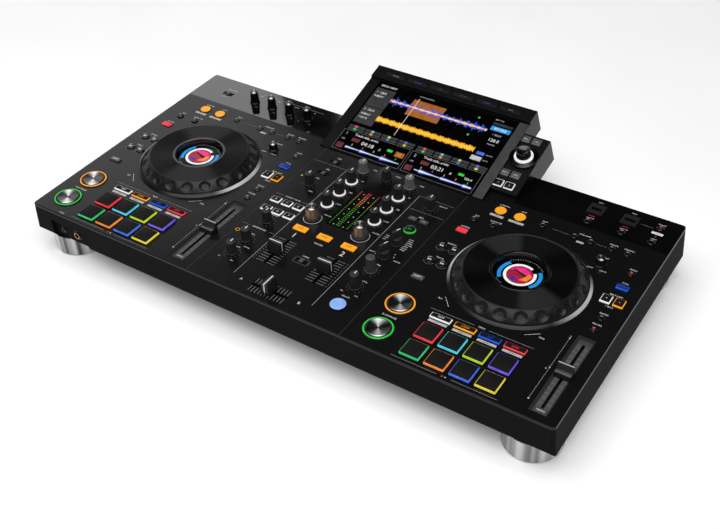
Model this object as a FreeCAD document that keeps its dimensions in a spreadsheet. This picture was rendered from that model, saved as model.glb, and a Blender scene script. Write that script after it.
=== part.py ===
import FreeCAD, Part
import math
import os
import Sketcher
from FreeCAD import Placement, Rotation, Vector

# All-in-one DJ console, in millimetres. Z is up, the front faces -Y, and the origin is on the
# table, below the middle of the whole object. Each size below has its own cell in the sheet.
# A size that ends in Y is measured from the front edge, except on the decks, from the middle of a
# jog wheel, on the glossy strips, from the middle of the strip, and on the display with its wing
# and cover, from the front of the display.

doc = FreeCAD.newDocument("console")
sheet = doc.addObject("Spreadsheet::Sheet", "sizes")

SIZES = {
    # body
    "overallWidth": 728.1,
    "sideLean": 3.65,
    "bodyDepth": 370.2,
    "bodyHeight": 41.4,
    "standHeight": 28.8,
    "frontReach": 234.75,
    "caseWall": 3.0,
    "panelThick": 3.0,
    "cornerRound": 5.0,
    "panelEdgeRound": 1.0,
    "cutOver": 1.0,
    "wallCut": 12.0,
    "postRadius": 4.0,
    # feet
    "footX": 325.6,
    "footFrontMargin": 34.75,
    "footRearMargin": 34.85,
    "footRadius": 33.5,
    "footEdge": 1.2,
    "footWall": 2.5,
    "footFloor": 2.5,
    "footPadRadius": 30.5,
    "footPadThick": 3.0,
    "footPadProud": 1.0,
    "footPadGap": 0.3,
    # glossy strips and rear panel
    "glossThick": 1.2,
    "glossDepth": 61.6,
    "glossMargin": 1.2,
    "rearPlateThick": 2.0,
    "rearPlateHeight": 30.0,
    "rearPlateWidth": 690.0,
    "rearPlateZ": 47.0,
    # circuit board and shafts
    "boardDrop": 9.0,
    "boardThick": 1.6,
    "boardMargin": 12.0,
    "boardRearMargin": 20.0,
    "shaftRadius": 3.0,
    "shaftDrop": 4.0,
    "shaftGap": 0.3,
    "potRadius": 5.0,
    "potGap": 0.3,
    "sliderPotWidth": 8.0,
    "sliderPotHeight": 4.5,
    "sliderPotEnd": 6.0,
    # how far knobs and keys stand from the panel
    "knobLift": 0.4,
    "knobCrown": 0.8,
    "keyGap": 0.3,
    "keySink": 2.0,
    "keyTaper": 0.4,
    "lowKeyRise": 1.4,
    "keyRise": 2.0,
    # decks, measured from the middle of each jog wheel
    "leftDeckX": -234.0,
    "deckPitch": 467.2,
    "deckY": 180.45,
    "jogBaseRadius": 82.0,
    "jogBaseHeight": 3.2,
    "jogBaseEdge": 0.8,
    "jogWellRadius": 78.6,
    "jogWellFloor": 1.2,
    "jogHubRadius": 24.0,
    "jogHubHeight": 6.5,
    "jogHubGap": 0.3,
    "jogFoot": 2.0,
    "jogFlangeRadius": 77.6,
    "jogFlangeHeight": 4.2,
    "jogWaistRadius": 76.4,
    "jogTopRadius": 66.4,
    "jogTopEdge": 0.8,
    "jogTopHeight": 14.9,
    "jogTopThick": 2.6,
    "jogRimWall": 5.0,
    "jogBoreRadius": 31.3,
    "jogScreenWellRadius": 29.4,
    "jogWebHeight": 5.0,
    "jogInnerWall": 3.0,
    "jogScallops": 20,
    "jogScallopRadius": 9.0,
    "jogScallopReach": 81.5,
    "jogScreenRadius": 28.3,
    "jogScreenThick": 1.6,
    # transport buttons
    "transportX": -94.7,
    "cueY": -103.5,
    "playY": -149.2,
    "transportRadius": 18.1,
    "transportRise": 2.6,
    "transportTaper": 1.0,
    # deck keys
    "shiftX": -100.9,
    "shiftY": -54.7,
    "shiftWidth": 16.0,
    "shiftDepth": 8.0,
    "searchX": -104.7,
    "searchPitch": 16.5,
    "searchY": 7.8,
    "trackY": -21.1,
    "searchRadius": 5.8,
    "syncX": -99.0,
    "syncY": 46.2,
    "syncWidth": 16.0,
    "syncDepth": 9.5,
    "slipX": -97.0,
    "quantizeX": -71.3,
    "slipY": 73.0,
    "lampKeyRadius": 4.6,
    "topRowY": 104.0,
    "loopX": -76.7,
    "loopPitch": 26.0,
    "loopRadius": 8.2,
    "reloopX": -20.6,
    "recallX": 20.6,
    "memoryX": 41.2,
    "deleteX": 67.2,
    "tinyX": 86.5,
    "smallKeyRadius": 4.2,
    "vinylX": 104.3,
    "jumpX": 96.0,
    "jumpPitch": 15.2,
    "jumpY": 20.0,
    "jumpWidth": 12.0,
    "jumpDepth": 14.0,
    "resetX": 103.5,
    "resetY": -11.7,
    "holdY": -32.5,
    "padX": -44.4,
    "padPitch": 29.9,
    "padY": -128.6,
    "padWidth": 26.0,
    "padDepth": 26.5,
    "padTaper": 0.5,
    "padRise": 4.0,
    "modeY": -100.8,
    "modeWidth": 25.5,
    "modeDepth": 8.5,
    # tempo faders
    "tempoX": 104.5,
    "tempoY": -109.7,
    "tempoPlateX": 103.0,
    "tempoPlateY": -107.7,
    "tempoPlateWidth": 20.8,
    "tempoPlateLength": 123.8,
    "tempoPlateSink": 1.0,
    "tempoSlot": 102.0,
    "tempoCapWidth": 18.5,
    "tempoCapHeight": 12.5,
    # mixer, measured from its middle
    "channelX": 34.9,
    "trimY": 270.25,
    "bandY": 242.55,
    "bandPitch": 27.75,
    "colourY": 155.35,
    "masterX": 0.5,
    "sideX": 79.7,
    "micLevelY": 212.85,
    "colourAmountY": 122.55,
    "phonesMixY": 80.65,
    "phonesLevelY": 52.75,
    "boothY": 245.95,
    "effectY": 165.7,
    "assignY": 137.5,
    "timeY": 108.7,
    "effectDepthY": 75.3,
    "effectButtonY": 40.75,
    "effectButtonRadius": 10.2,
    "tapY": 195.75,
    "tapRadius": 7.5,
    "beatX": 71.5,
    "beatPitch": 15.7,
    "beatY": 216.75,
    "beatWidth": 11.0,
    "beatDepth": 7.0,
    "colourKeyX": -96.0,
    "colourKeyPitch": 17.0,
    "colourKeyY": 142.55,
    "colourKeyRow": 20.3,
    "colourKeyWidth": 13.5,
    "colourKeyDepth": 10.5,
    "phonesCueY": 130.35,
    "phonesCueWidth": 21.5,
    "phonesCueDepth": 11.3,
    "faderY": 81.15,
    "faderSlot": 49.5,
    "crossY": 20.35,
    "crossSlot": 49.5,
    "slotWidth": 3.0,
    "stemThick": 1.8,
    "stemLength": 4.0,
    "stemDrop": 2.0,
    "capLift": 0.5,
    "capWidth": 18.0,
    "capDepth": 12.0,
    "capTopDepth": 6.4,
    "capShoulder": 3.5,
    "capDish": 0.8,
    "capHeight": 16.5,
    # slide switches
    "inputSwitchX": -77.2,
    "inputSwitchY": 240.05,
    "inputSwitchPitch": 27.7,
    "modeSwitchX": 1.0,
    "micSwitchX": -309.4,
    "micSwitchY": -3.65,
    "switchWellWidth": 17.0,
    "switchWellDepth": 7.6,
    "switchWellSink": 1.2,
    "switchKnobWidth": 5.0,
    "switchKnobDepth": 5.8,
    "switchRise": 1.6,
    "switchStemWidth": 3.0,
    "switchTravel": 3.5,
    # knobs, each kind with its own sizes
    "bandSkirtRadius": 8.2,
    "bandSkirt": 2.0,
    "bandRadius": 6.6,
    "bandTopRadius": 5.6,
    "bandHeight": 19.0,
    "trimSkirtRadius": 7.4,
    "trimSkirt": 1.6,
    "trimRadius": 6.6,
    "trimTopRadius": 5.6,
    "trimHeight": 16.5,
    "colourSkirtRadius": 11.0,
    "colourSkirt": 3.0,
    "colourRadius": 8.6,
    "colourTopRadius": 7.4,
    "colourHeight": 18.4,
    "sideSkirtRadius": 7.6,
    "sideSkirt": 1.6,
    "sideRadius": 6.6,
    "sideTopRadius": 5.6,
    "sideHeight": 17.0,
    "effectHeight": 20.5,
    "drumRadius": 6.9,
    "drumTopRadius": 6.7,
    "drumHeight": 10.5,
    "bladeFoot": 9.0,
    "bladeTop": 20.0,
    "bladeLength": 13.4,
    "bladeFootWidth": 4.4,
    "bladeTopWidth": 3.0,
    "bladeTurn": 22.0,
    "micSkirtRadius": 7.2,
    "micSkirt": 1.6,
    "micRadius": 6.4,
    "micTopRadius": 5.2,
    "micHeight": 18.4,
    "micX": -261.4,
    "micPitch": 30.5,
    "micY": -2.65,
    "feelX": 66.3,
    "feelSkirtRadius": 7.8,
    "feelSkirt": 1.4,
    "feelRadius": 6.2,
    "feelTopRadius": 5.0,
    "feelHeight": 9.6,
    "browseSkirtRadius": 12.4,
    "browseSkirt": 3.0,
    "browseRadius": 10.2,
    "browseTopRadius": 9.2,
    "browseHeight": 15.0,
    # display, measured up its sloping face from its front edge
    "displayTilt": 16.1,
    "displayX": 4.5,
    "displayWidth": 244.0,
    "displayFrontY": 291.75,
    "displayLip": 1.4,
    "displayFaceLength": 135.3,
    "displayBandLength": 22.1,
    "displayBandRise": 3.2,
    "displayBackReach": 16.3,
    "displayBackDrop": 36.3,
    "displayWall": 3.0,
    "displaySkin": 3.4,
    "displayFrontWall": 6.5,
    "housingGap": 0.3,
    "housingFootZ": 56.7,
    "glassX": 5.3,
    "glassWidth": 214.0,
    "glassStart": 0.9,
    "glassLength": 132.6,
    "glassThick": 1.5,
    "glassSink": 1.6,
    "glassGap": 0.2,
    "glassLedge": 6.0,
    "screenMargin": 3.0,
    "screenThick": 4.0,
    "screenGap": 0.3,
    "panelWindowMargin": 2.0,
    "panelWindowRear": 13.2,
    "wingWidth": 35.7,
    "wingFrontY": 22.8,
    "wingDrop": 2.6,
    "wingRearY": 117.0,
    "wingBackReach": 17.9,
    "wingBackDrop": 38.4,
    "wingFootZ": 51.4,
    "wingFrontWall": 4.2,
    "bossRadius": 19.0,
    "bossX": 143.1,
    "bossY": 80.3,
    "bossRise": 2.6,
    "bandKeyWidth": 31.0,
    "bandKeyDepth": 8.0,
    "bandKeyPitch": 35.4,
    "bandKeySlope": 145.6,
    "tiltKeySink": 3.0,
    "tiltKeyRise": 0.8,
    "wingKeyX": 139.0,
    "wingKeyPitch": 15.0,
    "wingKeyWidth": 13.0,
    "wingKeyDepth": 11.5,
    "wingRearKeyY": 109.0,
    "wingMiddleKeyY": 51.4,
    "wingFrontKeyY": 34.0,
    "coverX": 5.0,
    "coverWidth": 196.0,
    "coverTop": 16.5,
    "coverHeight": 19.0,
    "coverReach": 177.75,
    "coverChamfer": 9.0,
    "coverWall": 2.5,
    # front jacks in their slanted recess
    "bigJackX": -294.4,
    "smallJackX": -317.9,
    "jackZ": 40.6,
    "scoopLeft": -333.0,
    "scoopRight": -272.0,
    "scoopTop": 56.5,
    "scoopDepth": 5.0,
    "bigBore": 3.2,
    "bigNut": 4.9,
    "bigBody": 6.6,
    "smallBore": 1.8,
    "smallNut": 3.4,
    "smallBody": 4.4,
    "jackNutThick": 1.6,
    "jackLength": 18.0,
    "jackGap": 0.3,
    # sockets in the rear panel
    "socketZ": 46.5,
    "cupRadius": 11.6,
    "cupBore": 9.4,
    "cupDepth": 16.0,
    "cupFloor": 2.0,
    "micCupX": -262.0,
    "micCupPitch": 34.0,
    "outCupX": 182.0,
    "outCupPitch": 32.0,
    "phonoX": -170.0,
    "phonoPitch": 18.0,
    "phonoRadius": 4.4,
    "phonoBore": 1.7,
    "phonoProud": 9.0,
    "phonoCount": 8,
    "inletX": 282.0,
    "inletWidth": 22.0,
    "inletHeight": 16.0,
    "inletDepth": 16.0,
    "inletWall": 1.6,
    "inletBlade": 2.0,
    "inletBladeSink": 6.0,
    "inletBladePitch": 5.0,
    "rockerX": 318.0,
    "rockerWidth": 16.0,
    "rockerReach": 3.0,
    "rockerDip": 2.1,
    "rockerHalf": 6.3,
    "rockerBack": 6.0,
    "rockerCheek": 2.5,
    "rockerGap": 0.5,
    "rockerInset": 1.0,
    # ports and keys on the glossy strips
    "portX": 255.4,
    "portPitch": 42.9,
    "portY": 8.25,
    "portFrame": 20.0,
    "portRise": 0.6,
    "portWidth": 13.4,
    "portDepth": 5.6,
    "portLength": 12.0,
    "portWall": 1.0,
    "stopY": -19.95,
    "accessX": 335.6,
    "accessY": 10.55,
    "stopRadius": 4.9,
    # power supply and screws
    "supplyX": 190.0,
    "supplyY": 274.75,
    "supplyWidth": 150.0,
    "supplyDepth": 84.0,
    "supplyHeight": 20.0,
    "screwX": 240.0,
    "screwMargin": 29.6,
    "screwRadius": 3.0,
    "screwHead": 1.8,
    "screwShank": 1.5,
    "screwLength": 7.0,
    "screwGap": 0.2,
}

for row, (alias, value) in enumerate(SIZES.items(), start=1):
    cell = "A" + str(row)
    sheet.set(cell, str(value))
    sheet.setAlias(cell, alias)
doc.recompute()


class Length:
    # A length with its present value and the way the sheet works it out.

    def __init__(self, text, value):
        self.text = text
        self.value = value

    def mix(self, other, sign, value):
        return Length("(" + self.text + " " + sign + " " + asLength(other).text + ")", value)

    def __add__(self, other):
        return self.mix(other, "+", self.value + asLength(other).value)

    def __radd__(self, other):
        return asLength(other) + self

    def __sub__(self, other):
        return self.mix(other, "-", self.value - asLength(other).value)

    def __rsub__(self, other):
        return asLength(other) - self

    def __mul__(self, other):
        return self.mix(other, "*", self.value * asLength(other).value)

    def __rmul__(self, other):
        return asLength(other) * self

    def __truediv__(self, other):
        return self.mix(other, "/", self.value / asLength(other).value)

    def __neg__(self):
        return 0 - self


def asLength(amount):
    if isinstance(amount, Length):
        return amount
    text = str(amount)
    return Length("(" + text + ")" if amount < 0 else text, amount)


class Sizes:
    # size.bodyDepth is the cell of that name.

    def __getattr__(self, name):
        return Length("sizes." + name, SIZES[name])


size = Sizes()


def cosine(angle):
    return Length("cos(" + angle.text + ")", math.cos(math.radians(angle.value)))


def sine(angle):
    return Length("sin(" + angle.text + ")", math.sin(math.radians(angle.value)))


# Places that follow from the sizes.
deckTop = size.standHeight + size.bodyHeight
panelFoot = deckTop - size.panelThick
frontY = -size.frontReach
rearY = size.bodyDepth - size.frontReach
halfFoot = size.overallWidth / 2
halfDeck = halfFoot - size.sideLean
leanRate = size.sideLean / size.bodyHeight
halfPanelFoot = halfDeck + leanRate * size.panelThick
boardTop = panelFoot - size.boardDrop
shaftEnd = panelFoot - size.shaftDrop
slopeCos = cosine(size.displayTilt)
slopeSin = sine(size.displayTilt)
faceFootZ = deckTop + size.displayLip
displayLeft = size.displayX - size.displayWidth / 2
displayRight = size.displayX + size.displayWidth / 2
wingRight = displayRight + size.wingWidth
glossFront = rearY - size.glossMargin - size.glossDepth
glossY = glossFront + size.glossDepth / 2
wallGapY = rearY + size.housingGap

# The rows of the deck are those of a body this deep, and they spread with its depth.
rowsDepth = 370.2
spread = size.bodyDepth / rowsDepth


def row(fromFront):
    return frontY + fromFront * spread


deckY = row(size.deckY)


def deckRow(fromJog):
    return deckY + fromJog * spread


faderY = row(size.faderY)
displayFrontY = row(size.displayFrontY)
wingFrontY = displayFrontY + size.wingFrontY
wingRearY = displayFrontY + size.wingRearY
innerFrontY = displayFrontY + size.displayFrontWall
footFrontY = frontY + size.footFrontMargin
footRearY = rearY - size.footRearMargin
screwRows = (frontY + size.screwMargin, rearY - size.screwMargin)

rightway = Rotation()
tipBack = Rotation(Vector(1, 0, 0), 90)
tipForward = Rotation(Vector(1, 0, 0), -90)
made = {"count": 0}


def feature(kind):
    made["count"] += 1
    return doc.addObject(kind, kind.split("::")[1] + str(made["count"]))


def tie(piece, prop, amount):
    piece.setExpression(prop, asLength(amount).text)


def place(piece, x, y, z, turn=rightway):
    piece.Placement = Placement(Vector(0, 0, 0), turn)
    tie(piece, "Placement.Base.x", x)
    tie(piece, "Placement.Base.y", y)
    tie(piece, "Placement.Base.z", z)
    return piece


def box(x, y, z, width, depth, height):
    # Centred on x and y, standing on z.
    piece = feature("Part::Box")
    tie(piece, "Length", width)
    tie(piece, "Width", depth)
    tie(piece, "Height", height)
    return place(piece, x - width / 2, y - depth / 2, z)


def rod(x, y, z, radius, height, turn=rightway):
    piece = feature("Part::Cylinder")
    tie(piece, "Radius", radius)
    tie(piece, "Height", height)
    return place(piece, x, y, z, turn)


def cone(x, y, z, footRadius, topRadius, height):
    piece = feature("Part::Cone")
    tie(piece, "Radius1", footRadius)
    tie(piece, "Radius2", topRadius)
    tie(piece, "Height", height)
    return place(piece, x, y, z)


def keycap(x, y, z, width, depth, height, taper):
    # A block whose sides lean in by taper from foot to top.
    piece = feature("Part::Wedge")
    tie(piece, "Xmin", -width / 2)
    tie(piece, "Xmax", width / 2)
    tie(piece, "Zmin", -depth / 2)
    tie(piece, "Zmax", depth / 2)
    tie(piece, "X2min", taper - width / 2)
    tie(piece, "X2max", width / 2 - taper)
    tie(piece, "Z2min", taper - depth / 2)
    tie(piece, "Z2max", depth / 2 - taper)
    tie(piece, "Ymin", 0)
    tie(piece, "Ymax", height)
    return place(piece, x, y, z, tipBack)


def group(pieces):
    piece = feature("Part::Compound")
    piece.Links = pieces
    return piece


def join(pieces):
    piece = feature("Part::MultiFuse")
    piece.Shapes = pieces
    return piece


def cut(base, tools):
    piece = feature("Part::Cut")
    piece.Base = base
    piece.Tool = group(tools) if len(tools) > 1 else tools[0]
    return piece


def onFace(piece, footY=displayFrontY, footZ=faceFootZ):
    # Turns a piece that was modelled flat onto the display's sloping face. Its own x stays, its y
    # runs up the slope from the face's front edge and its z stands off the face.
    piece.Placement.Rotation = Rotation(Vector(1, 0, 0), SIZES["displayTilt"])
    tie(piece, "Placement.Rotation.Angle", size.displayTilt)
    tie(piece, "Placement.Base.y", footY)
    tie(piece, "Placement.Base.z", footZ)
    return piece


def outline(body, role, points):
    # A closed outline of straight lines, every corner of it tied to the sheet.
    sketch = body.newObject("Sketcher::SketchObject", "Outline")
    plane = [item for item in body.Origin.OriginFeatures if item.Role == role][0]
    sketch.AttachmentSupport = [(plane, "")]
    sketch.MapMode = "FlatFace"
    corners = [(asLength(a), asLength(b)) for a, b in points]
    places = [Vector(a.value, b.value, 0) for a, b in corners]
    for start, end in zip(places, places[1:] + places[:1]):
        sketch.addGeometry(Part.LineSegment(start, end), False)
    for index, (a, b) in enumerate(corners):
        after = (index + 1) % len(corners)
        sketch.addConstraint(Sketcher.Constraint("Coincident", index, 2, after, 1))
    for index, (a, b) in enumerate(corners):
        for kind, amount in (("DistanceX", a), ("DistanceY", b)):
            number = sketch.addConstraint(
                Sketcher.Constraint(kind, -1, 1, index, 1, amount.value))
            tie(sketch, "Constraints[" + str(number) + "]", amount)
    return sketch


def turned(x, y, z, points):
    # A profile of (radius, height) points turned about the upright axis.
    body = feature("PartDesign::Body")
    sketch = outline(body, "XZ_Plane", points)
    spin = body.newObject("PartDesign::Revolution", "Spin")
    spin.Profile = sketch
    spin.ReferenceAxis = (sketch, ["V_Axis"])
    spin.Angle = 360
    body.Tip = spin
    return place(body, x, y, z)


def slab(role, points, length, x=0, y=0, z=0):
    # An outline pushed out: from the side (YZ_Plane, towards +X) or the front (XZ_Plane,
    # towards +Y).
    body = feature("PartDesign::Body")
    sketch = outline(body, role, points)
    push = body.newObject("PartDesign::Pad", "Push")
    push.Profile = sketch
    push.Reversed = role == "XZ_Plane"
    tie(push, "Length", length)
    body.Tip = push
    return place(body, x, y, z)


def roundUpright(body, radius):
    # Rounds the long upright corners of a slab.
    doc.recompute()
    push = body.Tip
    names = []
    for index, edge in enumerate(push.Shape.Edges, start=1):
        ends = [vertex.Point for vertex in edge.Vertexes]
        climb = abs(ends[0].z - ends[-1].z)
        sideways = abs(ends[0].y - ends[-1].y)
        if climb > 0 and sideways < climb / 1000:
            names.append("Edge" + str(index))
    curve = body.newObject("PartDesign::Fillet", "Corners")
    curve.Base = (push, names)
    tie(curve, "Radius", radius)
    body.Tip = curve
    return body


def roundTop(body, radius, level):
    # Rounds the edges that lie at the level of the top.
    doc.recompute()
    last = body.Tip
    names = []
    for index, edge in enumerate(last.Shape.Edges, start=1):
        if all(abs(vertex.Point.z - level) < 0.001 for vertex in edge.Vertexes):
            names.append("Edge" + str(index))
    curve = body.newObject("PartDesign::Fillet", "TopEdge")
    curve.Base = (last, names)
    tie(curve, "Radius", radius)
    body.Tip = curve
    return body


parts = {}


def keep(label, piece):
    piece.Label = label
    parts[label] = piece
    return piece


# Where each knob stands: its own place, and the sizes of its kind. A kind is its skirt, its grip
# and its height above the panel.
KINDS = {
    "band": (size.bandSkirtRadius, size.bandSkirt, size.bandRadius, size.bandTopRadius,
             size.bandHeight),
    "trim": (size.trimSkirtRadius, size.trimSkirt, size.trimRadius, size.trimTopRadius,
             size.trimHeight),
    "colour": (size.colourSkirtRadius, size.colourSkirt, size.colourRadius,
               size.colourTopRadius, size.colourHeight),
    "side": (size.sideSkirtRadius, size.sideSkirt, size.sideRadius, size.sideTopRadius,
             size.sideHeight),
    "effect": (size.sideSkirtRadius, size.sideSkirt, size.sideRadius, size.sideTopRadius,
               size.effectHeight),
    "drum": (size.sideSkirtRadius, size.sideSkirt, size.drumRadius, size.drumTopRadius,
             size.drumHeight),
    "mic": (size.micSkirtRadius, size.micSkirt, size.micRadius, size.micTopRadius,
            size.micHeight),
    "feel": (size.feelSkirtRadius, size.feelSkirt, size.feelRadius, size.feelTopRadius,
             size.feelHeight),
}
rightDeckX = size.leftDeckX + size.deckPitch
decks = {"left": size.leftDeckX, "right": rightDeckX}
channels = {"channel_1": -size.channelX, "channel_2": size.channelX}

knobs = {
    "master_level_knob": ("trim", size.masterX, row(size.trimY)),
    "mic_level_knob": ("side", -size.sideX, row(size.micLevelY)),
    "colour_amount_knob": ("side", -size.sideX, row(size.colourAmountY)),
    "phones_mix_knob": ("side", -size.sideX, row(size.phonesMixY)),
    "phones_level_knob": ("side", -size.sideX, row(size.phonesLevelY)),
    "booth_level_knob": ("side", size.sideX, row(size.boothY)),
    "effect_selector": ("drum", size.sideX, row(size.effectY)),
    "effect_channel_selector": ("drum", size.sideX, row(size.assignY)),
    "effect_time_knob": ("effect", size.sideX, row(size.timeY)),
    "effect_depth_knob": ("effect", size.sideX, row(size.effectDepthY)),
}
for channel, channelX in channels.items():
    knobs[channel + "_trim_knob"] = ("trim", channelX, row(size.trimY))
    for step, band in enumerate(("high", "mid", "low")):
        knobs[channel + "_" + band + "_knob"] = ("band", channelX,
                                                 row(size.bandY - step * size.bandPitch))
    knobs[channel + "_colour_knob"] = ("colour", channelX, row(size.colourY))
for step, name in enumerate(("mic_1_level_knob", "mic_2_level_knob", "mic_low_knob",
                             "mic_high_knob")):
    knobs[name] = ("mic", size.micX + step * size.micPitch, glossY + size.micY)
for side, deckX in decks.items():
    knobs[side + "_jog_feel_knob"] = ("feel", deckX + size.feelX, deckRow(size.slipY))

# Faders: cap, slot and the way they run. Each is (x, y, slot length, along, cap width, height).
faders = {
    "channel_1_fader": (-size.channelX, faderY, size.faderSlot, "y", size.capWidth,
                        size.capHeight),
    "channel_2_fader": (size.channelX, faderY, size.faderSlot, "y", size.capWidth,
                        size.capHeight),
    "crossfader": (asLength(0), row(size.crossY), size.crossSlot, "x", size.capWidth,
                   size.capHeight),
}
for side, deckX in decks.items():
    faders[side + "_tempo_fader"] = (deckX + size.tempoX, deckRow(size.tempoY),
                                     size.tempoSlot, "y", size.tempoCapWidth,
                                     size.tempoCapHeight)


# Round keys are (x, y, radius, rise) and square keys (x, y, width, depth, rise, taper).
def roundKeysOfDeck(deckX):
    small = size.smallKeyRadius
    keys = [(deckX + size.searchX + column * size.searchPitch, deckRow(y), size.searchRadius,
             size.keyRise) for column in range(2) for y in (size.searchY, size.trackY)]
    keys += [(deckX + x, deckRow(size.slipY), size.lampKeyRadius, size.keyRise)
             for x in (size.slipX, size.quantizeX)]
    keys += [(deckX + size.loopX + column * size.loopPitch, deckRow(size.topRowY),
              size.loopRadius, size.keyRise) for column in range(2)]
    keys += [(deckX + x, deckRow(size.topRowY), small, size.lowKeyRise)
             for x in (size.reloopX, size.recallX, size.memoryX, size.deleteX, size.tinyX)]
    keys += [(deckX + size.resetX, deckRow(y), small, size.lowKeyRise)
             for y in (size.slipY, size.resetY, size.holdY)]
    return keys


def squareKeysOfDeck(deckX):
    keys = [(deckX + size.shiftX, deckRow(size.shiftY), size.shiftWidth, size.shiftDepth),
            (deckX + size.syncX, deckRow(size.syncY), size.syncWidth, size.syncDepth),
            (deckX + size.vinylX, deckRow(size.syncY), size.syncWidth, size.syncDepth)]
    keys += [(deckX + size.jumpX + column * size.jumpPitch, deckRow(size.jumpY),
              size.jumpWidth, size.jumpDepth) for column in range(2)]
    keys += [(deckX + size.padX + column * size.padPitch, deckRow(size.modeY), size.modeWidth,
              size.modeDepth) for column in range(4)]
    return [key + (size.keyRise, size.keyTaper) for key in keys]


def padsOfDeck(deckX):
    return [(deckX + size.padX + column * size.padPitch,
             deckRow(size.padY) - line * size.padPitch, size.padWidth, size.padDepth,
             size.padRise, size.padTaper) for line in range(2) for column in range(4)]


def transportOfDeck(deckX):
    return [(deckX + size.transportX, deckRow(y), size.transportRadius, size.transportRise)
            for y in (size.cueY, size.playY)]


mixerSquares = [(column * size.channelX, row(size.phonesCueY), size.phonesCueWidth,
                 size.phonesCueDepth, size.keyRise, size.keyTaper) for column in (-1, 0, 1)]
mixerSquares += [(size.colourKeyX + column * size.colourKeyPitch,
                  row(size.colourKeyY) + line * size.colourKeyRow, size.colourKeyWidth,
                  size.colourKeyDepth, size.keyRise, size.keyTaper)
                 for line in range(2) for column in range(3)]
mixerSquares += [(size.beatX + column * size.beatPitch, row(size.beatY), size.beatWidth,
                  size.beatDepth, size.lowKeyRise, size.keyTaper) for column in range(2)]
mixerRounds = [(size.sideX, row(size.tapY), size.tapRadius, size.keyRise),
               (size.sideX, row(size.effectButtonY), size.effectButtonRadius,
                size.transportRise)]
stripRounds = [(x, glossY + y, size.stopRadius, size.keyRise)
               for x, y in ((size.portX, size.stopY), (size.portX + size.portPitch, size.stopY),
                            (size.accessX, size.stopY), (size.accessX, size.accessY))]

flatSwitches = [(size.inputSwitchX, row(size.inputSwitchY) + step * size.inputSwitchPitch)
                for step in range(2)]
flatSwitches += [(size.modeSwitchX, faderY)]
micSwitch = (size.micSwitchX, glossY + size.micSwitchY)
switches = flatSwitches + [micSwitch]

roundKeys = mixerRounds + stripRounds
squareKeys = list(mixerSquares)
for deckX in decks.values():
    roundKeys += roundKeysOfDeck(deckX) + transportOfDeck(deckX)
    squareKeys += squareKeysOfDeck(deckX) + padsOfDeck(deckX)

over = size.cutOver
holeFoot = panelFoot - over
through = size.panelThick + 2 * over


def roundHoles(keys):
    return [rod(x, y, holeFoot, radius + size.keyGap, through) for x, y, radius, rise in keys]


def squareHoles(keys):
    return [box(x, y, holeFoot, width + 2 * size.keyGap, depth + 2 * size.keyGap, through)
            for x, y, width, depth, rise, taper in keys]


def knobHoles(names):
    return [rod(knobs[name][1], knobs[name][2], holeFoot, size.shaftRadius + size.shaftGap,
                through) for name in names]


def faderSlots():
    slots = []
    for x, y, length, along, width, height in faders.values():
        if along == "y":
            slots.append(box(x, y, holeFoot, size.slotWidth, length, through))
        else:
            slots.append(box(x, y, holeFoot, length, size.slotWidth, through))
    return slots


def switchSlots():
    run = size.switchStemWidth + 2 * size.switchTravel + 2 * size.keyGap
    return [box(x, y, holeFoot, run, size.slotWidth, through) for x, y in switches]


def portHoles():
    return [box(size.portX + column * size.portPitch, glossY + size.portY, holeFoot,
                size.portWidth + 2 * size.portWall, size.portDepth + 2 * size.portWall, through)
            for column in range(2)]


# Lower case: a tray with leaning side walls, posts for the board and a recess for the jacks.
innerFoot = size.standHeight + size.caseWall
wall = size.caseWall
tray = slab("XZ_Plane", [(-halfFoot, size.standHeight), (halfFoot, size.standHeight),
                         (halfPanelFoot, panelFoot), (-halfPanelFoot, panelFoot)],
            size.bodyDepth, y=frontY)
roundUpright(tray, size.cornerRound)
hollow = slab("XZ_Plane", [(wall - halfFoot, innerFoot), (halfFoot - wall, innerFoot),
                           (halfPanelFoot - wall, panelFoot + over),
                           (wall - halfPanelFoot, panelFoot + over)],
              size.bodyDepth - 2 * wall - size.rearPlateThick, y=frontY + wall)
scoopX = (size.scoopLeft + size.scoopRight) / 2
scoopWidth = size.scoopRight - size.scoopLeft
pocketWall = box(scoopX, frontY + wall + size.scoopDepth / 2, innerFoot,
                 scoopWidth + 2 * wall, size.scoopDepth, size.scoopTop + wall - innerFoot)
screwPlaces = [(x, y) for x in (-size.screwX, asLength(0), size.screwX) for y in screwRows]
posts = [rod(x, y, innerFoot, size.postRadius, boardTop - size.boardThick - innerFoot)
         for x, y in screwPlaces]
scoop = slab("YZ_Plane", [(frontY - over, size.standHeight - over),
                          (frontY + size.scoopDepth, size.standHeight - over),
                          (frontY + size.scoopDepth, size.jackZ + size.bigBody),
                          (frontY - over, size.scoopTop)], scoopWidth, x=size.scoopLeft)
plateSeat = box(0, rearY, size.rearPlateZ - size.rearPlateHeight / 2, size.rearPlateWidth,
                2 * size.rearPlateThick, size.rearPlateHeight)
wallBack = rearY - size.rearPlateThick - wall - over


def rearHoles():
    # Ways through the rear wall and its plate for the sockets and the rocker.
    holes = [rod(x, wallBack, size.socketZ, size.cupRadius + size.jackGap,
                 size.wallCut, tipForward) for x in cupPlaces]
    holes += [rod(x, wallBack, size.socketZ, size.phonoRadius + size.jackGap,
                  size.wallCut, tipForward) for x in phonoPlaces]
    holes.append(box(size.inletX, rearY, size.socketZ - size.inletHeight / 2 - size.jackGap,
                     size.inletWidth + 2 * size.jackGap, size.wallCut,
                     size.inletHeight + 2 * size.jackGap))
    rockerRoom = size.rockerHalf + size.rockerInset
    holes.append(box(size.rockerX, rearY, size.socketZ - rockerRoom,
                     size.rockerWidth + 2 * size.rockerGap, size.wallCut, 2 * rockerRoom))
    return holes


cupPlaces = [size.micCupX + step * size.micCupPitch for step in range(2)]
cupPlaces += [size.outCupX + step * size.outCupPitch for step in range(2)]
phonoPlaces = [size.phonoX + step * size.phonoPitch for step in range(SIZES["phonoCount"])]

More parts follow.
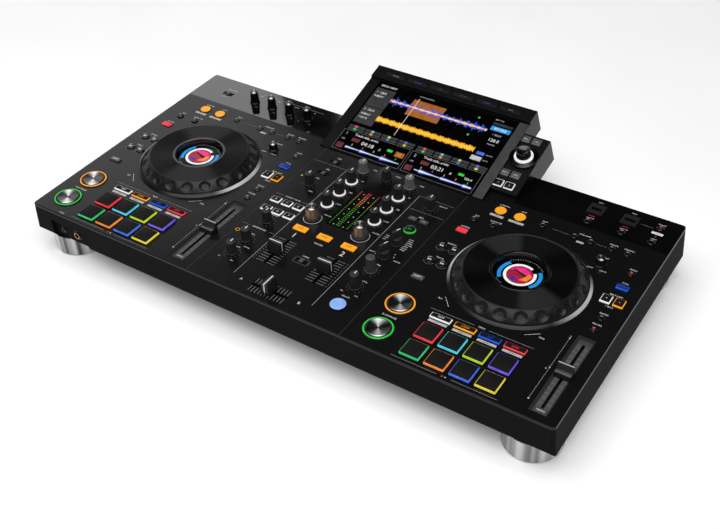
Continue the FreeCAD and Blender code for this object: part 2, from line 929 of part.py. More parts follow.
screwHoles = [rod(x, y, size.standHeight - over, size.screwRadius + size.screwGap,
                  size.screwHead + over) for x, y in screwPlaces]
screwHoles += [rod(x, y, size.standHeight, size.screwShank + size.screwGap,
                   size.screwHead + size.screwLength + size.screwGap) for x, y in screwPlaces]
jackPlaces = ((size.bigJackX, size.bigBody), (size.smallJackX, size.smallBody))
jackHoles = [rod(x, frontY, size.jackZ, body + size.jackGap, size.wallCut, tipForward)
             for x, body in jackPlaces]
shell = join([cut(tray, [hollow]), pocketWall] + posts)
keep("lower_case", cut(shell, [scoop, plateSeat] + rearHoles() + screwHoles + jackHoles))

# Top panel: one plate with every opening that knobs, keys, faders and sockets pass through.
plate = slab("XZ_Plane", [(-halfPanelFoot, panelFoot), (halfPanelFoot, panelFoot),
                          (halfDeck, deckTop), (-halfDeck, deckTop)], size.bodyDepth, y=frontY)
roundUpright(plate, size.cornerRound)
roundTop(plate, size.panelEdgeRound, deckTop.value)
glossTop = deckTop - size.glossThick
glossLeftX = -(halfDeck - size.glossMargin)
glossRightX = halfDeck - size.glossMargin


def glossBlock(left, right, z, height):
    return box((left + right) / 2, glossY, z, right - left, size.glossDepth, height)


glossSeats = [glossBlock(glossLeftX, displayLeft, glossTop, size.glossThick + over),
              glossBlock(wingRight, glossRightX, glossTop, size.glossThick + over)]
tempoSeats = [box(deckX + size.tempoPlateX, deckRow(size.tempoPlateY),
                  deckTop - size.tempoPlateSink, size.tempoPlateWidth, size.tempoPlateLength,
                  size.tempoPlateSink + over) for deckX in decks.values()]
switchWells = [box(x, y, deckTop - size.switchWellSink, size.switchWellWidth,
                   size.switchWellDepth, size.switchWellSink + over) for x, y in flatSwitches]
windowRearY = rearY - size.panelWindowRear
displayWindow = box(size.glassX, (innerFrontY + windowRearY) / 2, holeFoot,
                    size.glassWidth + 2 * size.panelWindowMargin, windowRearY - innerFrontY,
                    through)
keep("top_panel", cut(plate, glossSeats + tempoSeats + switchWells + [displayWindow]
                      + faderSlots() + switchSlots() + portHoles() + knobHoles(knobs)
                      + roundHoles(roundKeys) + squareHoles(squareKeys)))

# Glossy strips to the left and right of the display.
strips = group([glossBlock(glossLeftX, displayLeft, glossTop, size.glossThick),
                glossBlock(wingRight, glossRightX, glossTop, size.glossThick)])
micKnobs = [name for name, knob in knobs.items() if knob[0] == "mic"]
micWell = box(micSwitch[0], micSwitch[1], glossTop - over, size.switchWellWidth,
              size.switchWellDepth, size.glossThick + 2 * over)
keep("rear_strips", cut(strips, [micWell] + knobHoles(micKnobs) + roundHoles(stripRounds)
                        + portHoles()))

# Rear panel: a plate let into the rear wall.
backPlate = box(0, rearY - size.rearPlateThick / 2, size.rearPlateZ - size.rearPlateHeight / 2,
                size.rearPlateWidth, size.rearPlateThick, size.rearPlateHeight)
keep("rear_panel", cut(backPlate, rearHoles()))

# Feet: cups with a rubber pad let into the bottom of each.
footPlaces = [(sideways * size.footX, y) for sideways in (-1, 1)
              for y in (footFrontY, footRearY)]
padTop = size.footPadThick
footFloorTop = padTop + size.footFloor
footPadHole = size.footPadRadius + size.footPadGap
footProfile = [(0, padTop), (footPadHole, padTop), (footPadHole, size.footPadProud),
               (size.footRadius - size.footEdge, size.footPadProud),
               (size.footRadius, size.footPadProud + size.footEdge),
               (size.footRadius, size.standHeight),
               (size.footRadius - size.footWall, size.standHeight),
               (size.footRadius - size.footWall, footFloorTop), (0, footFloorTop)]
keep("feet", group([turned(x, y, 0, footProfile) for x, y in footPlaces]))
keep("foot_pads", group([rod(x, y, 0, size.footPadRadius, size.footPadThick)
                         for x, y in footPlaces]))

# Jog wheels: a base ring with a hub, a still display on the hub and a wheel that turns round it.
jogProfile = [
    (0, 0), (size.jogBaseRadius, 0), (size.jogBaseRadius, size.jogBaseHeight - size.jogBaseEdge),
    (size.jogBaseRadius - size.jogBaseEdge, size.jogBaseHeight),
    (size.jogWellRadius, size.jogBaseHeight), (size.jogWellRadius, size.jogWellFloor),
    (size.jogHubRadius, size.jogWellFloor), (size.jogHubRadius, size.jogHubHeight),
    (0, size.jogHubHeight)]
keep("jog_bases", group([turned(x, deckY, deckTop, jogProfile) for x in decks.values()]))
keep("jog_displays", group([rod(x, deckY, deckTop + size.jogHubHeight,
                                size.jogScreenRadius, size.jogScreenThick)
                            for x in decks.values()]))
innerRim = size.jogHubRadius + size.jogHubGap
wellWall = size.jogScreenWellRadius + size.jogInnerWall
ceiling = size.jogTopHeight - size.jogTopThick
wheelProfile = [
    (innerRim, size.jogFoot), (wellWall, size.jogFoot), (wellWall, ceiling),
    (size.jogTopRadius - size.jogRimWall, ceiling),
    (size.jogWaistRadius - size.jogRimWall, size.jogFlangeHeight),
    (size.jogWaistRadius - size.jogRimWall, size.jogFoot), (size.jogFlangeRadius, size.jogFoot),
    (size.jogFlangeRadius, size.jogFlangeHeight), (size.jogWaistRadius, size.jogFlangeHeight),
    (size.jogTopRadius, size.jogTopHeight - size.jogTopEdge),
    (size.jogTopRadius - size.jogTopEdge, size.jogTopHeight),
    (size.jogBoreRadius, size.jogTopHeight), (size.jogScreenWellRadius, ceiling),
    (size.jogScreenWellRadius, size.jogWebHeight), (innerRim, size.jogWebHeight)]


def jogWheel(x):
    # Finger scoops are cut into the rim above its flange.
    wheel = turned(x, deckY, deckTop, wheelProfile)
    bite = wheel.newObject("PartDesign::SubtractiveCylinder", "Scoop")
    tie(bite, "Radius", size.jogScallopRadius)
    tie(bite, "Height", size.jogTopHeight)
    tie(bite, "Placement.Base.x", size.jogScallopReach)
    tie(bite, "Placement.Base.z", size.jogFlangeHeight)
    ring = wheel.newObject("PartDesign::PolarPattern", "Scoops")
    ring.Originals = [bite]
    axis = [item for item in wheel.Origin.OriginFeatures if item.Role == "Z_Axis"][0]
    ring.Axis = (axis, [""])
    ring.Angle = 360
    tie(ring, "Occurrences", size.jogScallops)
    wheel.Tip = ring
    return wheel


for side, deckX in decks.items():
    keep(side + "_jog_wheel", jogWheel(deckX))


# Knobs: a skirt, a grip that narrows to a crowned top, and a shaft down through the panel.
def knobProfile(kind):
    skirtRadius, skirt, radius, topRadius, height = KINDS[kind]
    shaft = size.shaftRadius
    lift = size.knobLift
    foot = -(size.panelThick + size.shaftDrop)
    return [(0, foot), (shaft, foot), (shaft, lift), (skirtRadius, lift), (skirtRadius, skirt),
            (radius, skirt), (topRadius, height - size.knobCrown),
            (topRadius - size.knobCrown, height), (0, height)]


def blade(x, y):
    # A ridge across the top of a selector's drum, turned to the right of straight ahead.
    halfFoot = size.bladeFootWidth / 2
    halfTop = size.bladeTopWidth / 2
    profile = [(-halfFoot, size.bladeFoot), (halfFoot, size.bladeFoot),
               (halfTop, size.bladeTop), (-halfTop, size.bladeTop)]
    ridge = slab("XZ_Plane", profile, size.bladeLength)
    angle = math.radians(SIZES["bladeTurn"])
    half = size.bladeLength / 2
    turn = Rotation(Vector(0, 0, -1), SIZES["bladeTurn"])
    place(ridge, x - half * math.sin(angle), y - half * math.cos(angle), deckTop, turn)
    return ridge


for name, (kind, x, y) in knobs.items():
    grip = turned(x, y, deckTop, knobProfile(kind))
    keep(name, join([grip, blade(x, y)]) if kind == "drum" else grip)


# Fader caps: a shouldered block with a dished top, on a thin stem.
def faderCap(x, y, along, width, height):
    foot = size.capLift
    half = size.capDepth / 2
    halfTop = size.capTopDepth / 2
    profile = [(-half, foot), (half, foot), (half, size.capShoulder), (halfTop, height),
               (0, height - size.capDish), (-halfTop, height), (-half, size.capShoulder)]
    stemFoot = panelFoot - size.stemDrop
    stemHeight = deckTop + foot - stemFoot
    if along == "y":
        cap = slab("YZ_Plane", profile, width, x - width / 2, y, deckTop)
        stem = box(x, y, stemFoot, size.stemThick, size.stemLength, stemHeight)
    else:
        cap = slab("XZ_Plane", profile, width, x, y - width / 2, deckTop)
        stem = box(x, y, stemFoot, size.stemLength, size.stemThick, stemHeight)
    return join([cap, stem])


for name, (x, y, length, along, width, height) in faders.items():
    keep(name, faderCap(x, y, along, width, height))


# Keys stand in their openings, clear of the board.
def roundKey(x, y, radius, rise, taper):
    sunk = rod(x, y, deckTop - size.keySink, radius, size.keySink)
    top = cone(x, y, deckTop, radius, radius - taper, rise)
    return join([sunk, top])


def squareKey(x, y, width, depth, rise, taper):
    sunk = box(x, y, deckTop - size.keySink, width, depth, size.keySink)
    top = keycap(x, y, deckTop, width, depth, rise, taper)
    return join([sunk, top])


def keySet(rounds, squares, taper):
    return group([roundKey(*key, taper) for key in rounds] + [squareKey(*key) for key in squares])


for side, deckX in decks.items():
    keep(side + "_transport_buttons", keySet(transportOfDeck(deckX), [], size.transportTaper))
    keep(side + "_deck_keys", keySet(roundKeysOfDeck(deckX), squareKeysOfDeck(deckX),
                                     size.keyTaper))
    keep(side + "_pads", keySet([], padsOfDeck(deckX), size.keyTaper))
keep("mixer_keys", keySet(mixerRounds + stripRounds, mixerSquares, size.keyTaper))


# Slide switches: a small knob that runs in its well on a stem.
def slideSwitch(x, y):
    foot = deckTop - size.switchWellSink + size.keyGap
    knob = box(x, y, foot, size.switchKnobWidth, size.switchKnobDepth,
               deckTop + size.switchRise - foot)
    stem = box(x, y, panelFoot - size.stemDrop, size.switchStemWidth, size.stemThick,
               foot - panelFoot + size.stemDrop)
    return join([knob, stem])


keep("slide_switches", group([slideSwitch(x, y) for x, y in switches]))

# Circuit board under the panel, with a pot below each shaft and a slider below each slot.
boardWidth = 2 * (halfDeck - size.boardMargin)
boardFrontY = frontY + size.boardMargin
boardDepth = rearY - size.boardRearMargin - boardFrontY
card = box(0, boardFrontY + boardDepth / 2, boardTop - size.boardThick, boardWidth, boardDepth,
           size.boardThick)
pots = [rod(x, y, boardTop - size.boardThick, size.potRadius,
            shaftEnd - size.potGap - boardTop + size.boardThick) for kind, x, y in knobs.values()]
sliders = []
for x, y, length, along, width, height in faders.values():
    run = length + 2 * size.sliderPotEnd
    across = size.sliderPotWidth
    body = (across, run) if along == "y" else (run, across)
    sliders.append(box(x, y, boardTop - size.boardThick, body[0], body[1],
                       size.boardThick + size.sliderPotHeight))
keep("circuit_board", join([card] + pots + sliders))

# Power supply on the case floor.
keep("power_supply", box(size.supplyX, row(size.supplyY), innerFoot, size.supplyWidth,
                         size.supplyDepth, size.supplyHeight))

# Screws in the underside.
screws = [join([rod(x, y, size.standHeight, size.screwRadius, size.screwHead),
                rod(x, y, size.standHeight, size.screwShank, size.screwHead + size.screwLength)])
          for x, y in screwPlaces]
keep("case_screws", group(screws))

# Display housing: a wedge on the deck that runs on past the rear wall, with a raised band at the
# top of its face, and a lower wing at its right.
bandFoot = size.displayFaceLength
bandEnd = bandFoot + size.displayBandLength


def faceY(slope, rise):
    return displayFrontY + slope * slopeCos - rise * slopeSin


def faceZ(slope, rise):
    return faceFootZ + slope * slopeSin + rise * slopeCos


def facePoint(slope, rise):
    return faceY(slope, rise), faceZ(slope, rise)


backTop = facePoint(bandEnd, size.displayBandRise)
backFoot = (backTop[0] + size.displayBackReach, backTop[1] - size.displayBackDrop)
housingProfile = [(displayFrontY, deckTop), (wallGapY, deckTop),
                  (wallGapY, size.housingFootZ), backFoot, backTop,
                  facePoint(bandFoot, size.displayBandRise), facePoint(bandFoot, 0),
                  (displayFrontY, faceFootZ)]
skin = size.displaySkin
inset = size.displayWall
sillY = rearY - inset
cavityFootY = wallGapY + inset
innerFrontRun = size.displayFrontWall / slopeCos
housingCavity = [
    (innerFrontY, deckTop - over), (innerFrontY, faceZ(innerFrontRun, 0) - skin / slopeCos),
    facePoint(bandFoot, -skin), facePoint(bandEnd - 2 * inset, -skin),
    (backFoot[0] - 2 * inset, backFoot[1] + inset), (cavityFootY, size.housingFootZ + 2 * inset),
    (cavityFootY, deckTop + inset), (sillY, deckTop + inset), (sillY, deckTop - over)]
block = slab("YZ_Plane", housingProfile, size.displayWidth, x=displayLeft)
cavity = slab("YZ_Plane", housingCavity, size.displayWidth - 2 * inset, x=displayLeft + inset)
glassMiddle = size.glassStart + size.glassLength / 2
glassSeat = box(size.glassX, glassMiddle, -size.glassSink, size.glassWidth + 2 * size.glassGap,
                size.glassLength + 2 * size.glassGap, size.glassSink + over)
window = box(size.glassX, glassMiddle + size.glassLedge / 2, -skin - over,
             size.glassWidth - size.glassLedge, size.glassLength - 2 * size.glassLedge,
             skin + over)
bandKeyCount = 6
bandKeyStart = size.glassX - (bandKeyCount - 1) * size.bandKeyPitch / 2
bandKeys = [(bandKeyStart + column * size.bandKeyPitch, size.bandKeySlope)
            for column in range(bandKeyCount)]
bandKeyHoles = [box(x, slope, -skin - over, size.bandKeyWidth + 2 * size.keyGap,
                    size.bandKeyDepth + 2 * size.keyGap, skin + size.displayBandRise + 2 * over)
                for x, slope in bandKeys]
faceTools = onFace(group([glassSeat, window] + bandKeyHoles))

wingFrontRun = size.wingFrontY / slopeCos
wingRearRun = size.wingRearY / slopeCos
wingFrontZ = faceZ(wingFrontRun, 0) - size.wingDrop
wingRearZ = faceZ(wingRearRun, 0) - size.wingDrop
wingFoot = (wingRearY + size.wingBackReach, wingRearZ - size.wingBackDrop)
wingProfile = [(wingFrontY, deckTop), (wallGapY, deckTop), (wallGapY, size.wingFootZ),
               wingFoot, (wingRearY, wingRearZ), (wingFrontY, wingFrontZ)]
wingCavityY = wingFrontY + size.wingFrontWall
wingSlabZ = wingFrontZ + size.wingFrontWall / slopeCos * slopeSin
wingCavity = [
    (wingCavityY, deckTop - over), (wingCavityY, wingSlabZ - skin / slopeCos),
    (wingRearY - inset, wingRearZ - (skin + inset * slopeSin) / slopeCos),
    (wingFoot[0] - 2 * inset, wingFoot[1] + inset), (cavityFootY, size.wingFootZ + 2 * inset),
    (cavityFootY, deckTop + inset), (sillY, deckTop + inset), (sillY, deckTop - over)]
wing = slab("YZ_Plane", wingProfile, size.wingWidth, x=displayRight)
wingHollow = slab("YZ_Plane", wingCavity, size.wingWidth - 2 * inset, x=displayRight + inset)


def wingSlope(y):
    # How far up the wing's face a place lies that is this far behind the front of the display.
    return (y - size.wingFrontY) / slopeCos


wingKeys = [(size.wingKeyX + (column - 0.5) * size.wingKeyPitch, wingSlope(y))
            for y in (size.wingRearKeyY, size.wingMiddleKeyY, size.wingFrontKeyY)
            for column in range(2)]
wingKeyHoles = [box(x, slope, -skin - over, size.wingKeyWidth + 2 * size.keyGap,
                    size.wingKeyDepth + 2 * size.keyGap, skin + 2 * over)
                for x, slope in wingKeys]


def onWing(piece, rise):
    # Stands a turned piece on the wing where the selector is, at this height off the face.
    slope = wingSlope(size.bossY)
    return onFace(piece, wingFrontY + slope * slopeCos - rise * slopeSin,
                  wingFrontZ + slope * slopeSin + rise * slopeCos)


boss = onWing(rod(size.bossX, 0, 0, size.bossRadius, size.bossRise + over), -over)
bossHole = onWing(rod(size.bossX, 0, 0, size.shaftRadius + size.shaftGap,
                      skin + size.bossRise + 2 * over), -(skin + over))
wingTools = onFace(group(wingKeyHoles), wingFrontY, wingFrontZ)
hull = join([cut(block, [cavity]), cut(wing, [wingHollow]), boss])
keep("display_housing", cut(hull, [faceTools, wingTools, bossHole]))

# Glass in its seat and the screen below it.
glass = box(size.glassX, glassMiddle, -size.glassSink, size.glassWidth, size.glassLength,
            size.glassThick)
keep("display_glass", onFace(group([glass])))
screen = box(size.glassX, glassMiddle + size.glassLedge / 2,
             -(skin + size.screenGap + size.screenThick), size.glassWidth + size.screenMargin,
             size.glassLength - 2 * size.glassLedge + size.screenMargin, size.screenThick)
keep("display_panel", onFace(group([screen])))


# Keys on the display: six along the band and three pairs on the wing.
def faceKey(x, slope, level, width, depth):
    return box(x, slope, level - size.tiltKeySink, width, depth,
               size.tiltKeySink + size.tiltKeyRise)


bandSet = onFace(group([faceKey(x, slope, size.displayBandRise, size.bandKeyWidth,
                                size.bandKeyDepth) for x, slope in bandKeys]))
wingSet = onFace(group([faceKey(x, slope, asLength(0), size.wingKeyWidth, size.wingKeyDepth)
                        for x, slope in wingKeys]), wingFrontY, wingFrontZ)
keep("display_keys", group([bandSet, wingSet]))

# Selector knob on the wing's boss.
lift = size.bossRise + size.knobLift
browseProfile = [
    (0, -(skin + size.shaftDrop)), (size.shaftRadius, -(skin + size.shaftDrop)),
    (size.shaftRadius, lift), (size.browseSkirtRadius, lift),
    (size.browseSkirtRadius, lift + size.browseSkirt),
    (size.browseRadius, lift + size.browseSkirt),
    (size.browseTopRadius, size.browseHeight - size.knobCrown),
    (size.browseTopRadius - size.knobCrown, size.browseHeight), (0, size.browseHeight)]
keep("display_selector_knob", onWing(turned(size.bossX, 0, 0, browseProfile), 0))

# Cover behind the display, a hollow cap on the sloping back.
backLean = size.displayBackReach / size.displayBackDrop
coverTopZ = backTop[1] - size.coverTop
coverFootZ = coverTopZ - size.coverHeight


def backY(z):
    return backTop[0] + (backTop[1] - z) * backLean


def coverProfile(inner):
    top = coverTopZ - inner
    foot = coverFootZ + inner
    reach = displayFrontY + size.coverReach - inner
    return [(backY(foot), foot), (reach, foot), (reach, top - size.coverChamfer),
            (reach - size.coverChamfer, top), (backY(top), top)]


capBlock = slab("YZ_Plane", coverProfile(asLength(0)), size.coverWidth,
                x=size.coverX - size.coverWidth / 2)
capRoom = slab("YZ_Plane", coverProfile(size.coverWall), size.coverWidth - 2 * size.coverWall,
               x=size.coverX - size.coverWidth / 2 + size.coverWall)
keep("display_rear_cover", cut(capBlock, [capRoom]))


# Sockets: two jacks at the front, cups, phono plugs and an inlet at the rear, ports on top.
def frontJack(x, bore, nut, body):
    start = frontY + size.scoopDepth
    barrel = rod(x, start, size.jackZ, body, size.jackLength, tipForward)
    ring = rod(x, start - size.jackNutThick, size.jackZ, nut, size.jackNutThick, tipForward)
    hole = rod(x, start - 2 * size.jackNutThick, size.jackZ, bore, size.jackLength, tipForward)
    return cut(join([barrel, ring]), [hole])


def rearCup(x):
    start = rearY - size.cupDepth
    barrel = rod(x, start, size.socketZ, size.cupRadius, size.cupDepth, tipForward)
    room = rod(x, start + size.cupFloor, size.socketZ, size.cupBore, size.cupDepth, tipForward)
    return cut(barrel, [room])


def phonoPlug(x):
    start = rearY - size.rearPlateThick - wall
    run = size.rearPlateThick + wall + size.phonoProud
    barrel = rod(x, start, size.socketZ, size.phonoRadius, run, tipForward)
    hole = rod(x, start + wall, size.socketZ, size.phonoBore, run, tipForward)
    return cut(barrel, [hole])


def mainsInlet():
    middle = rearY - size.inletDepth / 2
    foot = size.socketZ - size.inletHeight / 2
    frame = box(size.inletX, middle, foot, size.inletWidth, size.inletDepth, size.inletHeight)
    room = box(size.inletX, middle + size.inletWall, foot + size.inletWall,
               size.inletWidth - 2 * size.inletWall, size.inletDepth,
               size.inletHeight - 2 * size.inletWall)
    bladeRun = size.inletDepth - size.inletWall - size.inletBladeSink
    blades = [box(size.inletX + step * size.inletBladePitch,
                  rearY - size.inletBladeSink - bladeRun / 2, size.socketZ, size.inletBlade,
                  bladeRun, size.inletBlade) for step in (-1, 0, 1)]
    return join([cut(frame, [room])] + blades)


def topPort(x):
    outerWidth = size.portWidth + 2 * size.portWall
    outerDepth = size.portDepth + 2 * size.portWall
    y = glossY + size.portY
    plate = box(x, y, deckTop, size.portFrame, size.portFrame, size.portRise)
    tube = box(x, y, deckTop - size.portLength, outerWidth - size.keyGap,
               outerDepth - size.keyGap, size.portLength)
    room = box(x, y, deckTop - size.portLength + size.portWall, size.portWidth,
               size.portDepth, size.portLength + size.portRise)
    return cut(join([plate, tube]), [room])


sockets = [frontJack(size.bigJackX, size.bigBore, size.bigNut, size.bigBody),
           frontJack(size.smallJackX, size.smallBore, size.smallNut, size.smallBody)]
sockets += [rearCup(x) for x in cupPlaces]
sockets += [phonoPlug(x) for x in phonoPlaces]
sockets += [mainsInlet()]
sockets += [topPort(size.portX + column * size.portPitch) for column in range(2)]
keep("sockets", group(sockets))

# Power switch: a rocker with two faces that tips in the rear panel.
half = size.rockerHalf
rockerProfile = [(size.rockerReach, -half), (size.rockerDip, 0), (size.rockerReach, half),
                 (-size.rockerCheek, half), (-size.rockerBack, size.rockerCheek),
                 (-size.rockerBack, -size.rockerCheek), (-size.rockerCheek, -half)]
keep("power_switch", slab("YZ_Plane", rockerProfile, size.rockerWidth,
                          size.rockerX - size.rockerWidth / 2, rearY - size.rockerInset,
                          size.socketZ))

doc.recompute()

failed = [item.Name for item in doc.Objects if {"Invalid", "Error"} & set(item.State)]
if failed:
    raise RuntimeError("objects that failed: " + ", ".join(failed))
os.makedirs("parts", exist_ok=True)
for label, piece in parts.items():
    if piece.Shape.isNull() or not piece.Shape.isValid():
        raise RuntimeError("shape of " + label + " is not valid")
for label, piece in parts.items():
    piece.Shape.exportStep("parts/" + label + ".step")
    print(label, len(piece.Shape.Solids), round(piece.Shape.Volume, 1))
bounds = FreeCAD.BoundBox()
for piece in parts.values():
    bounds.add(piece.Shape.BoundBox)
print(len(parts), "parts", bounds)
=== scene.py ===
import math

import bmesh
import bpy
from mathutils import Matrix, Vector


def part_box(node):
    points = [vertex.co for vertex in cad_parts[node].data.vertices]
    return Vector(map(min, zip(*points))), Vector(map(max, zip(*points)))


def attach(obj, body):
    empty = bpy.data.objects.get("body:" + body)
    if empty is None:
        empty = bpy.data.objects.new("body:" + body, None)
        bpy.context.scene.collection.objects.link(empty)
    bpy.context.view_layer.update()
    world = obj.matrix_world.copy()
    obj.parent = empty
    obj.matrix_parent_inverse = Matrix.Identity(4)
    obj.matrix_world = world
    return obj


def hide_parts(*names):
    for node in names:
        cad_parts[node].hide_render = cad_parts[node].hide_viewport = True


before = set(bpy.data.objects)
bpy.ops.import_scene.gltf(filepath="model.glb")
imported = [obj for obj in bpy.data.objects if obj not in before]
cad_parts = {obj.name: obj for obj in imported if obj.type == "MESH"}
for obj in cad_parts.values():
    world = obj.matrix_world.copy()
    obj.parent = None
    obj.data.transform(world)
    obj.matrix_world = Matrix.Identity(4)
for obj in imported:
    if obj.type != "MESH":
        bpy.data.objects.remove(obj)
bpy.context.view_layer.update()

# Lengths in this file are millimetres in the frame of the CAD; mm turns them into metres.
mm = 0.001
deckTop = 70.2
deckY = -54.3
deckX = {"left": -234, "right": 233.2}
frontY = -234.75


def at(x=0, y=0, z=0, turn=0, axis="Z"):
    return Matrix.Translation((x, y, z)) @ Matrix.Rotation(math.radians(turn), 4, axis)


def toLinear(code):
    values = [int(code[start:start + 2], 16) / 255 for start in (1, 3, 5)]
    return [v / 12.92 if v <= 0.04045 else ((v + 0.055) / 1.055) ** 2.4 for v in values] + [1]


def addNode(tree, kind, settings, links=None, out=0):
    # Makes a node and gives back one of its output sockets, or the node if it has none.
    node = tree.nodes.new("ShaderNode" + kind)
    for name, value in settings.items():
        if isinstance(name, int) or name in node.inputs:
            node.inputs[name].default_value = value
        else:
            setattr(node, name, value)
    for name, socket in (links or {}).items():
        tree.links.new(socket, node.inputs[name])
    return node.outputs[out] if node.outputs else node


def setRamp(ramp, stops, codes):
    for element, stop, code in zip(ramp.elements, stops, codes):
        element.position = stop
        element.color = toLinear(code)


def mix(dark, light, grain, rough, bump, **more):
    # A finish has a dark and a light tone that its grain mixes, the grain's size, the range of
    # its roughness and the depth of its bumps. Sizes and depths are real millimetres. Grooves
    # round a centre lie at the distance rings; a given angle and power then lay the light tone
    # as a painted highlight in two wedges across that centre, in place of the grain.
    return dict(dark=dark, light=light, grain=grain, rough=rough, bump=bump, **more)


# A ring texture of scale 1 repeats after this length.
wavePeriod = 0.314


def finish(name, look, centre=(0, 0)):
    material = bpy.data.materials.new(name)
    material.use_nodes = True
    tree = material.node_tree
    tree.nodes.clear()

    def add(kind, settings, links, out=0):
        return addNode(tree, kind, settings, links, out)

    place = add("TexCoord", {}, {}, "Object")
    scale = [1000 / look["grain"] / s for s in look.get("stretch", (1, 1, 1))]
    shift = [-centre[0] * mm * scale[0], -centre[1] * mm * scale[1], 0]
    grid = add("Mapping", {"Scale": scale, "Location": shift}, {"Vector": place})
    grain = add("TexNoise", {"Scale": 1, "Detail": look.get("detail", 3)},
                {"Vector": grid}, "Fac")
    tone = add("ValToRGB", {}, {"Fac": grain}, "Color")
    setRamp(tone.node.color_ramp, look.get("fade", (0.35, 0.65)), (look["dark"], look["light"]))
    rough = add("MapRange", {"From Min": 0.3, "From Max": 0.7, "To Min": look["rough"][0],
                             "To Max": look["rough"][1]}, {"Value": grain}, "Result")
    height = grain
    links = {"Base Color": tone, "Roughness": rough}
    if "rings" in look:
        around = add("Mapping", {"Scale": (1000, 1000, 1000),
                                 "Location": (-centre[0], -centre[1], 0)}, {"Vector": place})
        height = add("TexWave", {"wave_type": "RINGS", "rings_direction": "Z",
                                 "Scale": wavePeriod / look["rings"], "Distortion": 0.3},
                     {"Vector": around}, "Fac")
        side = add("SeparateXYZ", {}, {"Vector": around}).node.outputs
        along = add("CombineXYZ", {}, {"X": side["X"], "Y": side["Y"]})
        turn = add("VectorTransform", {"convert_from": "OBJECT", "convert_to": "WORLD"},
                   {"Vector": along})
        links["Tangent"] = add("VectorMath", {"operation": "NORMALIZE"}, {0: turn})
        # The light tone is a painted highlight: it lies in two wedges on either side of the
        # centre, fixed to the surface wherever the light is.
        ray, sharpness = math.radians(look["rays"][0]), look["rays"][1]
        flatUnit = add("VectorMath", {"operation": "NORMALIZE"}, {0: along})
        across = add("VectorMath", {"operation": "DOT_PRODUCT",
                                    1: (math.cos(ray), math.sin(ray), 0)},
                     {0: flatUnit}, "Value")
        size = add("Math", {"operation": "ABSOLUTE"}, {0: across})
        paintedWedge = add("Math", {"operation": "POWER", 1: sharpness}, {0: size})
        tree.links.new(paintedWedge, tone.node.inputs["Fac"])
    links["Normal"] = add("Bump", {"Strength": 1, "Distance": look["bump"] * mm},
                          {"Height": height})
    settings = {"Metallic": look.get("metal", 0), "Anisotropic": look.get("drag", 0),
                "Coat Weight": look.get("coat", 0), "Coat Roughness": 0.04,
                "Specular IOR Level": look.get("shine", 0.5)}
    if "glow" in look:
        settings["Emission Strength"] = look["glow"]
        links["Emission Color"] = tone
        unlit = {"operation": "SCALE", "Scale": look.get("unlit", 0.25)}
        links["Base Color"] = add("VectorMath", unlit, {0: tone})
    add("OutputMaterial", {}, {"Surface": add("BsdfPrincipled", settings, links)})
    return material


def lamp(dark, light, glow):
    # Lit plastic, a little uneven where the light comes through.
    return mix(dark, light, 6, (0.3, 0.4), 0.005, glow=glow, shine=0.3)


